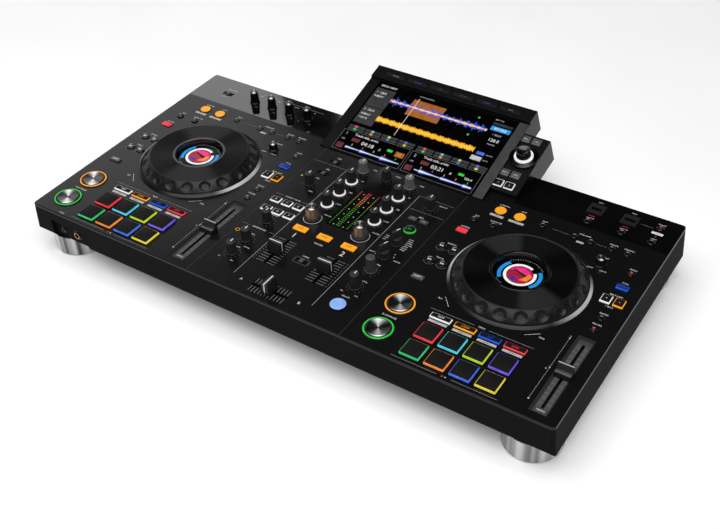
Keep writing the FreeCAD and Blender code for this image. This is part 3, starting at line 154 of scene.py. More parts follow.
looks = {
    # fine textured black moulding
    "caseBlack": mix("#0e0e0f", "#141415", 0.6, (0.55, 0.66), 0.03, shine=0.03),
    # matt painted panel
    "panelBlack": mix("#0c0c0d", "#111112", 0.4, (0.2, 0.25), 0.006, shine=0.22),
    # polished black acrylic with faint smears
    "glossBlack": mix("#040405", "#080809", 40, (0.06, 0.12), 0.004, coat=0.4),
    # coated glass of the screens
    "screenGlass": mix("#020202", "#040404", 30, (0.1, 0.14), 0.001, shine=0.06),
    # satin black moulding of the display
    "housingBlack": mix("#0b0b0c", "#0f0f10", 0.5, (0.26, 0.32), 0.008, shine=0.1),
    # grey frame round the curve switch, and the satin bevel beside the screen painted lighter as
    # a painted highlight
    "greyFrameAndBevelHighlight": mix("#2b2b2d", "#353537", 12, (0.4, 0.5), 0.006, shine=0.3),
    # soft black rubber of the knobs
    "knobRubber": mix("#1a1a1b", "#242425", 0.8, (0.46, 0.56), 0.02, shine=0.4),
    # soft black rubber
    "rubberBlack": mix("#101011", "#181819", 0.8, (0.42, 0.54), 0.02, shine=0.35),
    # shiny black plastic of knob tops
    "capGloss": mix("#09090a", "#0e0e0f", 3, (0.16, 0.24), 0.004),
    # dark grey plastic of the time knob
    "graphite": mix("#39393b", "#434345", 0.8, (0.4, 0.5), 0.01),
    # soft grey rubber
    "rubberGrey": mix("#606062", "#6e6e70", 0.8, (0.4, 0.52), 0.02),
    # ribbed chrome of the colour knobs, satin from its mould
    "ribChrome": mix("#c4c4c5", "#d6d6d6", 1.5, (0.34, 0.4), 0.003, metal=1),
    # black chrome
    "darkChrome": mix("#3c3c3e", "#4a4a4c", 1.5, (0.14, 0.26), 0.003, metal=1),
    # polished aluminium of the feet, in upright light and dark bands
    "footSilver": mix("#4a4a4a", "#d2d2d0", 11, (0.24, 0.34), 0.004,
                      stretch=(1, 1, 60), metal=1, detail=1),
    # moulded rubber under the feet
    "padRubber": mix("#141414", "#1d1d1d", 1.2, (0.7, 0.85), 0.05),
    # blackened screws
    "screwSteel": mix("#2b2b2c", "#3b3b3c", 0.4, (0.3, 0.45), 0.01, metal=1),
    # matt black of the sockets
    "socketBlack": mix("#0c0c0d", "#121213", 0.5, (0.4, 0.55), 0.015, shine=0.35),
    # brass of the jacks
    "brass": mix("#8a6a34", "#b18d4e", 0.8, (0.25, 0.4), 0.005, metal=1),
    # satin black rim of the jog wheels
    "rimBlack": mix("#0c0c0d", "#101011", 0.9, (0.3, 0.38), 0.008, shine=0.3),
    # dark plated ring of the small keys
    "keyChrome": mix("#505052", "#5e5e60", 8, (0.16, 0.26), 0.003, metal=1),
    # dark solder mask of the board
    "boardGreen": mix("#030a06", "#07140b", 4, (0.35, 0.5), 0.02),
    # folded sheet of the power supply
    "sheetMetal": mix("#9c9d9e", "#b6b7b8", 5, (0.3, 0.45), 0.02, metal=1),
    # soft black top of pads and keys
    "keyTop": mix("#0d0d0e", "#121213", 0.7, (0.5, 0.58), 0.015, shine=0.1),
    # grey key plastic
    "keyGrey": mix("#3e3e40", "#4a4a4c", 0.9, (0.36, 0.48), 0.01),
    # printed plate below the tempo faders
    "scaleGrey": mix("#343435", "#3e3e3f", 0.5, (0.45, 0.55), 0.01, shine=0.25),
    # white screen print
    "printWhite": mix("#cfcfcd", "#e6e6e3", 0.3, (0.5, 0.6), 0.004),
    # pale label plates
    "printPale": mix("#a4a4a2", "#b6b6b4", 0.3, (0.5, 0.6), 0.004),
    # thin grey screen print
    "printGrey": mix("#7d7d7c", "#8d8d8b", 0.3, (0.5, 0.6), 0.004),
    # black print on light keys
    "printBlack": mix("#101011", "#161617", 0.3, (0.5, 0.6), 0.004),
    # painted shade of dark wells behind slots and gaps; also black seams and picture shapes
    "deepBlack": mix("#020202", "#040404", 1, (0.7, 0.8), 0.01),
    # milky white ring under a knob, with a painted glow
    "milkPaintedGlow": mix("#dededd", "#efefee", 1.5, (0.3, 0.4), 0.005, glow=0.75),
    # lit plastic and screen colours
    "litRed": lamp("#e02e3c", "#ea3e4a", 0.85),
    "litOrange": lamp("#f59a10", "#f8a81e", 0.85),
    "litAmber": lamp("#e07a28", "#ee8c3c", 0.85),
    "litYellow": lamp("#d8c62c", "#e4d446", 0.8),
    "litLime": lamp("#b0cc1c", "#c0dc34", 0.8),
    "litGreen": lamp("#1cb82e", "#2ed040", 0.85),
    "litMint": lamp("#28b260", "#3cc474", 0.8),
    "litCyan": lamp("#3cc0dc", "#58d2e8", 0.8),
    "litBlue": lamp("#1048c8", "#1a58dc", 0.85),
    "litIndigo": lamp("#3a5ed4", "#4c72e0", 0.8),
    "litViolet": lamp("#6048d4", "#7660e4", 0.8),
    "litSky": lamp("#82aaf4", "#94baf8", 0.75),
    "litWhite": lamp("#e6e6e6", "#f6f6f6", 0.8),
    "litAzure": lamp("#1484c8", "#2096dc", 0.85),
    "litPurple": lamp("#4a2080", "#5a2c94", 0.8),
    "litPink": lamp("#e01f78", "#ea3488", 0.9),
    "litCrimson": lamp("#a0142a", "#b41e38", 0.8),
    "litNavy": lamp("#08285c", "#0a3068", 0.7),
    "litLeaf": lamp("#3a9a12", "#4aac1c", 0.75),
    "litOlive": lamp("#a89a18", "#b8aa24", 0.75),
    "litLoop": lamp("#94520a", "#a85e0e", 0.8),
    "screenGrey": lamp("#2a2b2d", "#333436", 0.6),
    "screenText": lamp("#a9abad", "#bfc1c3", 0.8),
    "screenMaroon": lamp("#5c1420", "#74202c", 0.6),
}
paints = {name: finish(name, look) for name, look in looks.items()}

# Lathe-turned metal: fine rings round a centre, and a painted highlight laid in wedges across it.
spun = mix("#59595b", "#e8e8e8", 14, (0.27, 0.29), 0.0002, metal=1, drag=0.9, rings=0.8,
           rays=(124, 8), fade=(0.03, 1))
print("finishes made")


def turned(points, steps=48):
    # A profile of (radius, height) points turned about the upright axis.
    shape = bmesh.new()
    corners = [shape.verts.new((radius, 0, height)) for radius, height in points]
    edges = [shape.edges.new(pair) for pair in zip(corners, corners[1:])]
    bmesh.ops.spin(shape, geom=corners + edges, cent=(0, 0, 0), axis=(0, 0, 1),
                   angle=math.tau, steps=steps, use_merge=True)
    bmesh.ops.remove_doubles(shape, verts=shape.verts, dist=0.0005)
    bmesh.ops.recalc_face_normals(shape, faces=shape.faces)
    return shape


def fluted(points, count, depth, low, high):
    # A turned profile with flutes pressed in between two heights.
    shape = turned(points, 96)
    for vert in shape.verts:
        radius = math.hypot(vert.co.x, vert.co.y)
        if radius > 1 and low < vert.co.z < high:
            wave = 0.5 + 0.5 * math.cos(count * math.atan2(vert.co.y, vert.co.x))
            factor = (radius - depth * wave) / radius
            vert.co.x *= factor
            vert.co.y *= factor
    return shape


def brick(width, depth, height, lean=0, edge=0, segments=2):
    # A block that stands on z = 0 and leans in by lean from foot to top.
    shape = bmesh.new()
    bmesh.ops.create_cube(shape, size=1)
    for vert in shape.verts:
        high = vert.co.z > 0
        less = lean if high else 0
        vert.co = Vector((math.copysign(width / 2 - less, vert.co.x),
                          math.copysign(depth / 2 - less, vert.co.y), height if high else 0))
    if edge:
        bmesh.ops.bevel(shape, geom=shape.edges[:], offset=edge, segments=segments,
                        profile=0.5, affect="EDGES", material=-1)
    return shape


def flat(points):
    shape = bmesh.new()
    shape.faces.new([shape.verts.new((x, y, 0)) for x, y in points])
    return shape


def oblong(width, depth):
    return flat([(-width / 2, -depth / 2), (width / 2, -depth / 2), (width / 2, depth / 2),
                 (-width / 2, depth / 2)])


def arc(inner, outer, start=0, end=360, steps=48):
    shape = bmesh.new()
    whole = abs(end - start) >= 360
    rows = []
    for step in range(steps if whole else steps + 1):
        angle = math.radians(start + (end - start) * step / steps)
        rows.append([shape.verts.new((r * math.cos(angle), r * math.sin(angle), 0))
                     for r in (inner, outer)])
    for before, after in zip(rows, rows[1:] + (rows[:1] if whole else [])):
        shape.faces.new((before[0], before[1], after[1], after[0]))
    return shape


def disc(radius, steps=40):
    shape = bmesh.new()
    bmesh.ops.create_circle(shape, cap_ends=True, radius=radius, segments=steps)
    return shape


def words(text, height, align="CENTER"):
    letters = bpy.data.curves.new("letters", "FONT")
    letters.body = text
    letters.size = height
    letters.align_x = align
    letters.align_y = "CENTER"
    letters.resolution_u = 2
    carrier = bpy.data.objects.new("letters", letters)
    mesh = bpy.data.meshes.new_from_object(carrier)
    shape = bmesh.new()
    shape.from_mesh(mesh)
    bpy.data.objects.remove(carrier)
    bpy.data.curves.remove(letters)
    bpy.data.meshes.remove(mesh)
    return shape


class Piece:
    # One shown piece. Its parts are put in one by one, each with a finish, at a shift and turn
    # from the place that was set last.

    def __init__(self, name, x=0, y=0, z=0):
        self.name = name
        self.shape = bmesh.new()
        self.finishes = []
        self.place(at(x, y, z))

    def place(self, matrix):
        self.origin = matrix

    def put(self, part, paint, x=0, y=0, z=0, turn=0):
        if paint not in self.finishes:
            self.finishes.append(paint)
        for side in part.faces:
            side.material_index = self.finishes.index(paint)
        bmesh.ops.transform(part, matrix=self.origin @ at(x, y, z, turn), verts=part.verts)
        mesh = bpy.data.meshes.new("part")
        part.to_mesh(mesh)
        part.free()
        self.shape.from_mesh(mesh)
        bpy.data.meshes.remove(mesh)

    def close(self, body, slot, *replaced):
        bmesh.ops.scale(self.shape, vec=(mm, mm, mm), verts=self.shape.verts)
        mesh = bpy.data.meshes.new(self.name)
        self.shape.to_mesh(mesh)
        self.shape.free()
        mesh.shade_smooth()
        mesh.set_sharp_from_angle(angle=math.radians(32))
        for paint in self.finishes:
            mesh.materials.append(paint if isinstance(paint, bpy.types.Material)
                                  else paints[paint])
        thing = bpy.data.objects.new(self.name, mesh)
        bpy.context.scene.collection.objects.link(thing)
        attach(thing, body)
        if replaced:
            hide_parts(*replaced)


def middle(node):
    low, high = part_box(node)
    return (low.x + high.x) / 2 / mm, (low.y + high.y) / 2 / mm


def titled(node):
    return node.replace("_", " ").title().replace(" ", "")


# CAD pieces that are shown as they are.
shown = {
    "lower_case": "caseBlack", "top_panel": "panelBlack", "rear_strips": "glossBlack",
    "rear_panel": "caseBlack", "display_housing": "housingBlack",
    "display_rear_cover": "caseBlack", "display_glass": "screenGlass",
    "display_panel": "glossBlack", "circuit_board": "boardGreen", "power_supply": "sheetMetal",
    "feet": "footSilver", "foot_pads": "padRubber", "case_screws": "screwSteel",
    "sockets": "socketBlack", "slide_switches": "keyGrey", "power_switch": "socketBlack",
}
for node, paint in shown.items():
    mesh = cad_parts[node].data
    mesh.materials.clear()
    mesh.materials.append(paints[paint])
print("frame pieces finished")


def knobKind(slot, skirt, height, paints, grip=(6.6, 5.6), flutes=24):
    # skirt is (radius, height) and grip (foot radius, top radius); heights are above the panel.
    # The paints are those of skirt, grip, cap and pointer.
    return dict(slot=slot, skirt=skirt, height=height, paints=paints, grip=grip, flutes=flutes)


softPaints = ("knobRubber", "knobRubber", "knobRubber", "printWhite")
glossPaints = ("capGloss", "capGloss", "spun", "printBlack")
knobKinds = {
    # EQ knobs stand on a white ring with a painted glow.
    "band": knobKind("knob_black", (8.2, 2), 19, ("milkPaintedGlow",) + softPaints[1:]),
    "trim": knobKind("knob_grey", (7.4, 1.6), 16.5, ("rubberGrey",) * 3 + ("printWhite",)),
    "master": knobKind("knob_black", (7.4, 1.6), 16.5, softPaints),
    "colour": knobKind("knob_chrome", (11, 3), 18.4,
                       ("rubberBlack", "ribChrome", "spun", "printBlack"), (8.6, 7.4), 30),
    "side": knobKind("knob_black", (7.6, 1.6), 17, softPaints),
    "time": knobKind("knob_grey", (7.6, 1.6), 20.5, ("graphite",) * 4),
    "depth": knobKind("knob_black", (7.6, 1.6), 20.5, softPaints),
    "mic": knobKind("knob_chrome", (7.2, 1.6), 18.4, glossPaints, (6.4, 5.2), 20),
    "feel": knobKind("knob_chrome", (7.8, 1.4), 9.6, glossPaints, (6.2, 5), 16),
}
knobNodes = {node + "_knob": kind for kind, nodes in (
    ("master", ("master_level",)),
    ("side", ("mic_level", "colour_amount", "phones_mix", "phones_level", "booth_level")),
    ("time", ("effect_time",)), ("depth", ("effect_depth",)),
    ("mic", ("mic_1_level", "mic_2_level", "mic_low", "mic_high")),
    ("feel", ("left_jog_feel", "right_jog_feel"))) for node in nodes}
for channel in ("channel_1_", "channel_2_"):
    for name in ("trim", "colour", "high", "mid", "low"):
        knobNodes[channel + name + "_knob"] = name if name in knobKinds else "band"

pointerWidth = 1.4
for node, kindName in knobNodes.items():
    x, y = middle(node)
    piece = Piece(titled(node), x, y, deckTop)
    kind = knobKinds[kindName]
    skirtRadius, skirt = kind["skirt"]
    radius, topRadius = kind["grip"]
    height = kind["height"]
    skirtPaint, gripPaint, capPaint, linePaint = kind["paints"]
    # Spun crowns carry painted highlight wedges in their tone.
    if capPaint == "spun":
        capPaint = finish(piece.name + "Crown", spun, (x, y))
    crown = height - 0.8
    shoulder = crown - 2.4
    waist = skirt + 0.6
    narrow = topRadius + (radius - topRadius) * 0.12
    piece.put(turned([(0, 0.4), (skirtRadius - 0.3, 0.4), (skirtRadius, 0.7),
                      (skirtRadius, skirt - 0.4), (skirtRadius - 0.4, skirt), (0, skirt)]),
              skirtPaint)
    piece.put(fluted([(radius - 0.5, skirt), (radius, waist), (radius - 0.15, waist + 1),
                      (narrow, shoulder), (topRadius, shoulder + 1.2)],
                     kind["flutes"], 0.5, skirt + 0.1, shoulder + 0.1), gripPaint)
    piece.put(turned([(topRadius, shoulder + 1.2), (topRadius, crown - 0.1),
                      (topRadius - 0.25, crown + 0.45), (topRadius - 0.9, height),
                      (topRadius * 0.5, height - 0.12), (0, height - 0.18)]), capPaint)
    for depth, rise, y, z in ((topRadius * 0.9, 0.5, topRadius * 0.46, height - 0.48),
                              (0.5, crown - shoulder - 1.4, topRadius - 0.18, shoulder + 1.4)):
        piece.put(brick(pointerWidth, depth, rise, 0, 0.1, 1), linePaint, 0, y, z)
    piece.close(node, kind["slot"], node)

# Selectors: a drum with a blade across it, whose far half carries a white line.
blade = dict(skirt=(7.6, 1.6), drum=(6.9, 6.7), drumTop=10.5, foot=10, top=20, width=4.2,
             length=13.3, turn=-22, line=(1.3, 5.6, 0.3))
skirtRadius, skirt = blade["skirt"]
radius, topRadius = blade["drum"]
for node in ("effect_selector", "effect_channel_selector"):
    piece = Piece(titled(node))
    piece.place(at(*middle(node), deckTop, blade["turn"]))
    piece.put(turned([(0, 0.4), (skirtRadius, 0.4), (skirtRadius, skirt - 0.3),
                      (skirtRadius - 0.3, skirt), (radius, skirt),
                      (topRadius, blade["drumTop"] - 0.8), (topRadius - 0.8, blade["drumTop"]),
                      (0, blade["drumTop"])]), "knobRubber")
    piece.put(brick(blade["width"], blade["length"], blade["top"] - blade["foot"], 0.6, 0.45),
              "knobRubber", z=blade["foot"])
    piece.put(brick(*blade["line"], 0, 0.08, 1), "printWhite", 0, 2.9, blade["top"] - 0.28)
    piece.close(node, "knob_black", node)
print("knobs made")

# The sloping face of the display and the wing beside it. On a face, y runs up the slope.
tilt = 16.1
face = dict(y=57, z=71.6, wing=22.8, wingDrop=2.6)
displayFace = at(0, face["y"], face["z"], tilt, "X")
wingY = face["y"] + face["wing"]
wingZ = face["z"] + face["wing"] * math.tan(math.radians(tilt)) - face["wingDrop"]
wingFace = at(0, wingY, wingZ, tilt, "X")


def wingSlope(y):
    return (y - wingY) / math.cos(math.radians(tilt))


browse = dict(x=143.1, y=137.3, boss=(12.8, 18.6), bossTop=2.63)
browsePlace = wingFace @ at(browse["x"], wingSlope(browse["y"]))
# Heights above the wing and radii from the skirt up.
foot, height = 3, 15
skirt, grip, top = 12.4, 9.6, 8.6
piece = Piece("SelectorKnob")
piece.place(browsePlace)
piece.put(turned([(0, foot), (skirt - 0.3, foot), (skirt, foot + 0.4), (skirt, foot + 1.2),
                  (skirt - 1.2, foot + 2.4), (grip + 0.1, foot + 3)]), "litWhite")
piece.put(fluted([(grip, foot + 3), (grip, foot + 3.4), (top + 0.2, height - 2),
                  (top, height - 0.9)], 24, 0.8, foot + 3.1, height - 1.4), "darkChrome")
piece.put(turned([(top, height - 0.9), (top - 0.8, height), (top - 1.8, height - 0.1),
                  (top - 3, height - 0.9), (0, height - 1.1)]), "darkChrome")
piece.close("display_selector_knob", "knob_chrome", "display_selector_knob")

# Jog wheels: a rim with twenty finger dimples, a grooved top whose light wedges are painted
# highlight, and a still display in the middle.
# A dimple is an oval: its half width is a part of the pitch, its half height a part of the rim.
jog = dict(flange=77.6, waist=76.4, waistZ=4.2, shoulder=66.4, shoulderZ=14.1, top=14.9,
           bore=31.3, wellRadius=29.4, wellZ=5, hub=24.3, foot=2, bulge=0.5, dimples=20,
           dimpleDepth=2.1, dimpleWidth=0.33, dimpleHeight=0.46, stepsPerDimple=24, rows=16)


def jogRim():
    shape = bmesh.new()
    steps = jog["stepsPerDimple"]
    around = jog["dimples"] * steps
    inwards, rise = jog["shoulder"] - jog["waist"], jog["shoulderZ"] - jog["waistZ"]
    slope = math.atan2(-inwards, rise)
    grid = []
    for row in range(jog["rows"] + 1):
        t = row / jog["rows"]
        bulge = jog["bulge"] * math.sin(math.pi * t)
        up = (t - 0.5) / jog["dimpleHeight"]
        ring = []
        for step in range(around):
            angle = math.tau * step / around
            across = abs((step / steps) % 1 - 0.5) / jog["dimpleWidth"]
            room = max(0, 1 - across * across - up * up)
            dip = jog["dimpleDepth"] * room * (2 - room) - bulge
            radius = min(jog["waist"] + inwards * t - dip * math.cos(slope), jog["waist"])
            height = max(jog["waistZ"] + rise * t - dip * math.sin(slope), jog["waistZ"])
            ring.append(shape.verts.new((radius * math.cos(angle), radius * math.sin(angle),
                                         height)))
        grid.append(ring)
    for lower, upper in zip(grid, grid[1:]):
        for step in range(around):
            after = (step + 1) % around
            shape.faces.new((lower[step], lower[after], upper[after], upper[step]))
    return shape


# The ring below each wheel slopes outwards; its tone is a painted reflection, bright at its sides
# and dark in front.
base = dict(radius=82, slope=79.1, well=78.6, floor=1.2, rise=3.2, hub=24, hubTop=6.5)
ringPaintedGlint = mix("#0a0a0b", "#d4d4d6", 6, (0.3, 0.34), 0, rings=0.5, metal=0.35, rays=(-1, 10),
             fade=(0.1, 0.8))
piece = Piece("JogBases")
for side, x in deckX.items():
    piece.place(at(x, deckY, deckTop))
    piece.put(turned([(base["radius"], 0), (base["radius"], 0.4),
                      (base["slope"], base["rise"] - 0.1), (base["slope"] - 0.2, base["rise"]),
                      (base["well"], base["rise"])], 128),
              finish(side + "Ring", ringPaintedGlint, (x, deckY)))
    # The well under the wheel is near black as painted shade.
    piece.put(turned([(base["well"], base["rise"]), (base["well"], base["floor"]),
                      (base["hub"], base["floor"]), (base["hub"], base["hubTop"]),
                      (0, base["hubTop"])], 96), "deepBlack")
piece.close("console", "jog_black", "jog_bases")

# The grooved top is dark with painted highlight wedges, set at another angle on each side.
groovedPaintedGlint = mix("#040405", "#242425", 3, (0.3, 0.33), 0.003, rings=0.5, drag=1, shine=0.08)
paintedGlintPerSide = {"left": (116, 4), "right": (137, 9)}
shoulder, bore, top = jog["shoulder"], jog["bore"], jog["top"]
for side, x in deckX.items():
    piece = Piece(side.title() + "JogWheel", x, deckY, deckTop)
    piece.put(turned([(jog["waist"] - 5, jog["foot"]), (jog["flange"], jog["foot"]),
                      (jog["flange"], jog["waistZ"] - 1.7), (jog["waist"], jog["waistZ"])], 128),
              "rimBlack")
    piece.put(jogRim(), "rimBlack")
    piece.put(turned([(shoulder, jog["shoulderZ"]), (shoulder - 0.2, top - 0.3),
                      (shoulder - 0.7, top), (shoulder - 2, top),
                      (shoulder - 2.4, top - 0.35)], 128), "rimBlack")
    piece.put(turned([(shoulder - 2.4, top - 0.35), (bore + 3.4, top - 0.35)], 128),
              finish(side + "Groove", dict(groovedPaintedGlint, rays=paintedGlintPerSide[side]), (x, deckY)))
    piece.put(turned([(bore + 3.4, top - 0.35), (bore + 3, top), (bore + 0.5, top),
                      (bore, top - 0.5), (jog["wellRadius"], jog["wellZ"]),
                      (jog["hub"], jog["wellZ"]), (jog["hub"], jog["foot"])], 96), "capGloss")
    piece.close(side + "_jog_wheel", "jog_black", side + "_jog_wheel")

# Still displays in the wheels: rings, arcs and a plain picture of overlapping shapes, each
# given as (lift, finish, corners).
picture = dict(height=6.5, radius=28.3, thick=1.4, ring=(15.4, 18.9), arc=(21.2, 25.6),
               tickEnd=27.2, lift=0.03)
emblem = [
    (0.03, "litPink", [(-13.5, 3), (-9, 11), (2, 13), (12.5, 6.5), (9, -1), (-2, 4)]),
    (0.035, "deepBlack", [(-14, -1), (-8, 4), (9, -3), (12, 2), (4, 3.4), (-9, 7)]),
    (0.04, "litAmber", [(2, -9), (11.5, -6.5), (13.8, 3), (9, 5.5), (6, -2)]),
    (0.05, "litPurple", [(-11, -7), (-3, -4), (1.5, -11), (-5, -13.4)]),
]
piece = Piece("JogDisplays")
for side, x in deckX.items():
    piece.place(at(x, deckY, deckTop + picture["height"]))
    piece.put(turned([(0, 0), (picture["radius"], 0), (picture["radius"], picture["thick"] - 0.3),
                      (picture["radius"] - 0.3, picture["thick"]), (0, picture["thick"])], 72),
              "screenGlass")
    piece.place(at(x, deckY, deckTop + picture["height"] + picture["thick"] + picture["lift"]))
    piece.put(arc(*picture["ring"], -300, 35, 64), "litWhite")
    for start in (-38, 142):
        piece.put(arc(*picture["arc"], start, start + 76, 20), "litAzure")
    for tick in range(60):
        angle = tick * 6
        if 38 < angle < 142 or 218 < angle < 322:
            length = 2.2 if tick % 5 == 0 else 1.2
            piece.put(arc(picture["tickEnd"] - length, picture["tickEnd"], angle - 0.5,
                          angle + 0.5, 1), "screenText")
    piece.put(disc(15, 48), "litCrimson")
    for lift, paint, corners in emblem:
        piece.put(flat(corners), paint, z=lift)
piece.close("console", "screen_black", "jog_displays")
print("jog wheels made")

# Transport buttons: a lit ring round a spun metal disc whose light wedges are painted highlight,
# with a gap of painted shade between them, as profiles from rim to middle.
transport = dict(x=-94.7, rows={"cue": (-157.8, "litOrange"), "play": (-203.5, "litGreen")},
                 rim=[(18.1, -1.5), (18.1, 0.2), (17.7, 0.9), (17.2, 1.3)],
                 ring=[(17.2, 1.3), (16.8, 1.8), (16, 1.9), (15.4, 1.6)],
                 gap=[(15.4, 1.6), (15.2, 0.9), (14.3, 0.9), (14.1, 1.6)],
                 disc=[(14.1, 1.6), (13.8, 2.4), (13.3, 2.6), (12.6, 2.4), (0, 2)],
                 signLift=2.34)
for side, deck in deckX.items():
    piece = Piece(side.title() + "TransportButtons")
    x = deck + transport["x"]
    for name, (y, light) in transport["rows"].items():
        piece.place(at(x, y, deckTop))
        metal = finish(side + name.title() + "Disc", spun, (x, y))
        for part, paint in (("rim", "capGloss"), ("ring", light), ("gap", "deepBlack"),
                            ("disc", metal)):
            piece.put(turned(transport[part], 72), paint)
        lift = transport["signLift"]
        if name == "cue":
            piece.put(words("CUE", 3.2), "printBlack", z=lift)
        else:
            piece.put(flat([(-3.4, -1.6), (-0.6, 0), (-3.4, 1.6)]), "printBlack", z=lift)
            for shift in (0.9, 2.4):
                piece.put(oblong(0.8, 3.2), "printBlack", shift, 0, lift)
    piece.close(side + "_transport_buttons", "transport_metal", side + "_transport_buttons")

# Pads: black tops in lit bodies.
pads = dict(x=-44.4, pitch=29.9, y=-182.9, width=24.4, depth=24.8, rise=4, foot=0.7, lean=0.3,
            border=0.7, corner=0.9, rows=(("litRed", "litCyan", "litLime", "litViolet"),
                                          ("litMint", "litAmber", "litIndigo", "litYellow")))
width, depth, foot, rise = (pads[key] for key in ("width", "depth", "foot", "rise"))
inset = 2 * (pads["lean"] + pads["border"])
for side, deck in deckX.items():
    piece = Piece(side.title() + "Pads")
    for line, row in enumerate(pads["rows"]):
        for column, light in enumerate(row):
            piece.place(at(deck + pads["x"] + column * pads["pitch"],
                           pads["y"] - line * pads["pitch"], deckTop))
            piece.put(brick(width, depth, foot, 0, 0.3), "keyTop")
            piece.put(brick(width - 0.1, depth - 0.1, rise - foot - 0.15, pads["lean"],
                            pads["corner"], 3), light, z=foot - 0.1)
            piece.put(brick(width - inset, depth - inset, 0.6, 0.1, 0.2), "keyTop",
                      z=rise - 0.6)
    piece.close(side + "_pads", "pad_rubbery", side + "_pads")

# Deck keys: (dx, y, width, depth, light, kind, word) and (dx, y, radius, rise, light or kind).
squareKeys = [
    (-100.9, -109, 16, 8, "keyGrey", "plain", "SHIFT"),
    (-99, -8.1, 14, 8, "litRed", "framed", ""),
    (104.3, -8.1, 14.6, 8.4, "litBlue", "tinted", "SYNC"),
    (96, -34.3, 12, 14, "litWhite", "edge", "<"),
    (111.2, -34.3, 12, 14, "litOrange", "edge", ">"),
]
padModes = (("litWhite", "HOT"), ("litOrange", "LOOP"), ("litBlue", "SLIP"), ("litRed", "JUMP"))
for column, (light, word) in enumerate(padModes):
    squareKeys.append((pads["x"] + pads["pitch"] * column, -155.1, 25.5, 8.5, light, "edge",
                       word))
cueRow = 49.7
roundKeys = [(x, y, 5.8, 2, "chromed") for x in (-104.7, -88.2) for y in (-46.5, -75.4)]
roundKeys += [(-97, 18.7, 4.6, 2, "dull"), (-71.3, 18.7, 4.6, 2, "dark")]
roundKeys += [(x, cueRow, 8.2, 2, "litOrange") for x in (-76.7, -50.7)]
roundKeys += [(x, cueRow, 4.2, 1.4, "dark") for x in (-20.6, 20.6, 41.2, 67.2, 86.5)]
roundKeys += [(103.5, y, 4.2, 1.4, light)
              for y, light in ((18.7, "red"), (-66, "dark"), (-86.8, "red"))]


def roundKey(piece, x, y, radius, rise, light):
    piece.place(at(x, y, deckTop))
    if light.startswith("lit"):
        piece.put(turned([(radius, -1), (radius, 0.7), (radius - 0.6, 1),
                          (radius - 1.1, 0.8)]), "capGloss")
        piece.put(turned([(radius - 1.1, 0.4), (radius - 1.2, rise * 0.7), (radius - 1.7, rise),
                          (0, rise)]), light)
        return
    piece.put(turned([(radius, -1), (radius, rise - 0.5), (radius - 0.5, rise)]), "capGloss")
    piece.put(turned([(radius - 0.5, rise), (radius - 0.8, rise), (radius - 1.5, rise - 0.6)]),
              "keyChrome")
    piece.put(turned([(radius - 1.5, rise - 0.6), (radius * 0.4, rise - 0.35),
                      (0, rise - 0.3)]), "capGloss")
    dots = {"red": "litCrimson", "dull": "screenMaroon"}
    if light == "chromed":
        for shift in (-1.4, 1.2):
            piece.put(flat([(shift - 1.1, -1.7), (shift + 1.3, 0), (shift - 1.1, 1.7)]),
                      "printWhite", z=rise - 0.2)
    if light in dots:
        piece.put(disc(1.5, 16), dots[light], z=rise - 0.25)


def squareKey(piece, x, y, width, depth, light, kind, word, rise=1.98):
    # A plain or framed key has one colour; an edge or tinted key has a dark top in a lit body.
    piece.place(at(x, y, deckTop))
    wordLift = rise + 0.005
    if kind == "framed":
        piece.put(brick(width + 2, depth + 1.6, 0.4, 0, 0.1), "capGloss")
    if kind in ("plain", "framed"):
        piece.put(brick(width, depth, rise, 0.4, 0.35), light)
        if word:
            ink = "printBlack" if light.startswith("lit") else "printWhite"
            piece.put(words(word, 4.2), ink, z=wordLift)
        return
    top = "litNavy" if kind == "tinted" else "keyTop"
    piece.put(brick(width, depth, rise - 0.2, 0.3, 0.5), light)
    piece.put(brick(width - 1.8, depth - 2.1, 0.5, 0.1, 0.15), top, 0, 0.3, rise - 0.5)
    piece.put(words(word, min(4, depth * 0.42)), light, 0, 0.3, wordLift)


for side, deck in deckX.items():
    piece = Piece(side.title() + "DeckKeys")
    for dx, *rest in squareKeys:
        squareKey(piece, deck + dx, *rest)
    for dx, *rest in roundKeys:
        roundKey(piece, deck + dx, *rest)
    piece.close(side + "_deck_keys", "key_plastic", side + "_deck_keys")

# Keys of the mixer and of the right rear strip.
rightColumn = 79.7
faderX = (-34.9, 34.9)
usbX = (255.4, 298.3)
standbyX = 335.6
piece = Piece("MixerKeys")
for x in (faderX[0], 0, faderX[1]):
    squareKey(piece, x, -104.4, 18.8, 9.6, "litOrange", "plain", "CUE")
for x, signs in ((-96, "AB"), (-79, "CD"), (-62, "EF")):
    for y, sign in zip((-71.9, -92.2), signs):
        squareKey(piece, x, y, 13.5, 10.5, "litWhite", "edge", sign)
for x, sign in ((71.5, "<"), (87.2, ">")):
    squareKey(piece, x, -18, 11, 7, "keyGrey", "plain", sign, 1.38)
piece.place(at(rightColumn, -39, deckTop))
piece.put(turned([(7.5, -1), (7.5, 1.2), (7.3, 1.6), (7.1, 1.7)]), "litGreen")
piece.put(turned([(7.1, 1.7), (6.3, 1.4), (5.7, 1.7), (0, 1.7)]), "capGloss")
piece.put(words("TAP", 2.8), "litGreen", z=1.72)
piece.place(at(rightColumn, -194, deckTop))
piece.put(turned([(10.2, -1), (10.2, 1.1), (9.8, 1.5), (9.3, 1.2)], 64), "capGloss")
piece.put(turned([(9.3, 1), (9.2, 1.6), (8.4, 2.2), (5, 2.5), (0, 2.6)], 64), "litSky")
for x in (*usbX, standbyX):
    roundKey(piece, x, 83.5, 4.9, 2, "dark")
roundKey(piece, standbyX, 114, 4.9, 2, "red")
piece.close("mixer_keys", "key_plastic", "mixer_keys")

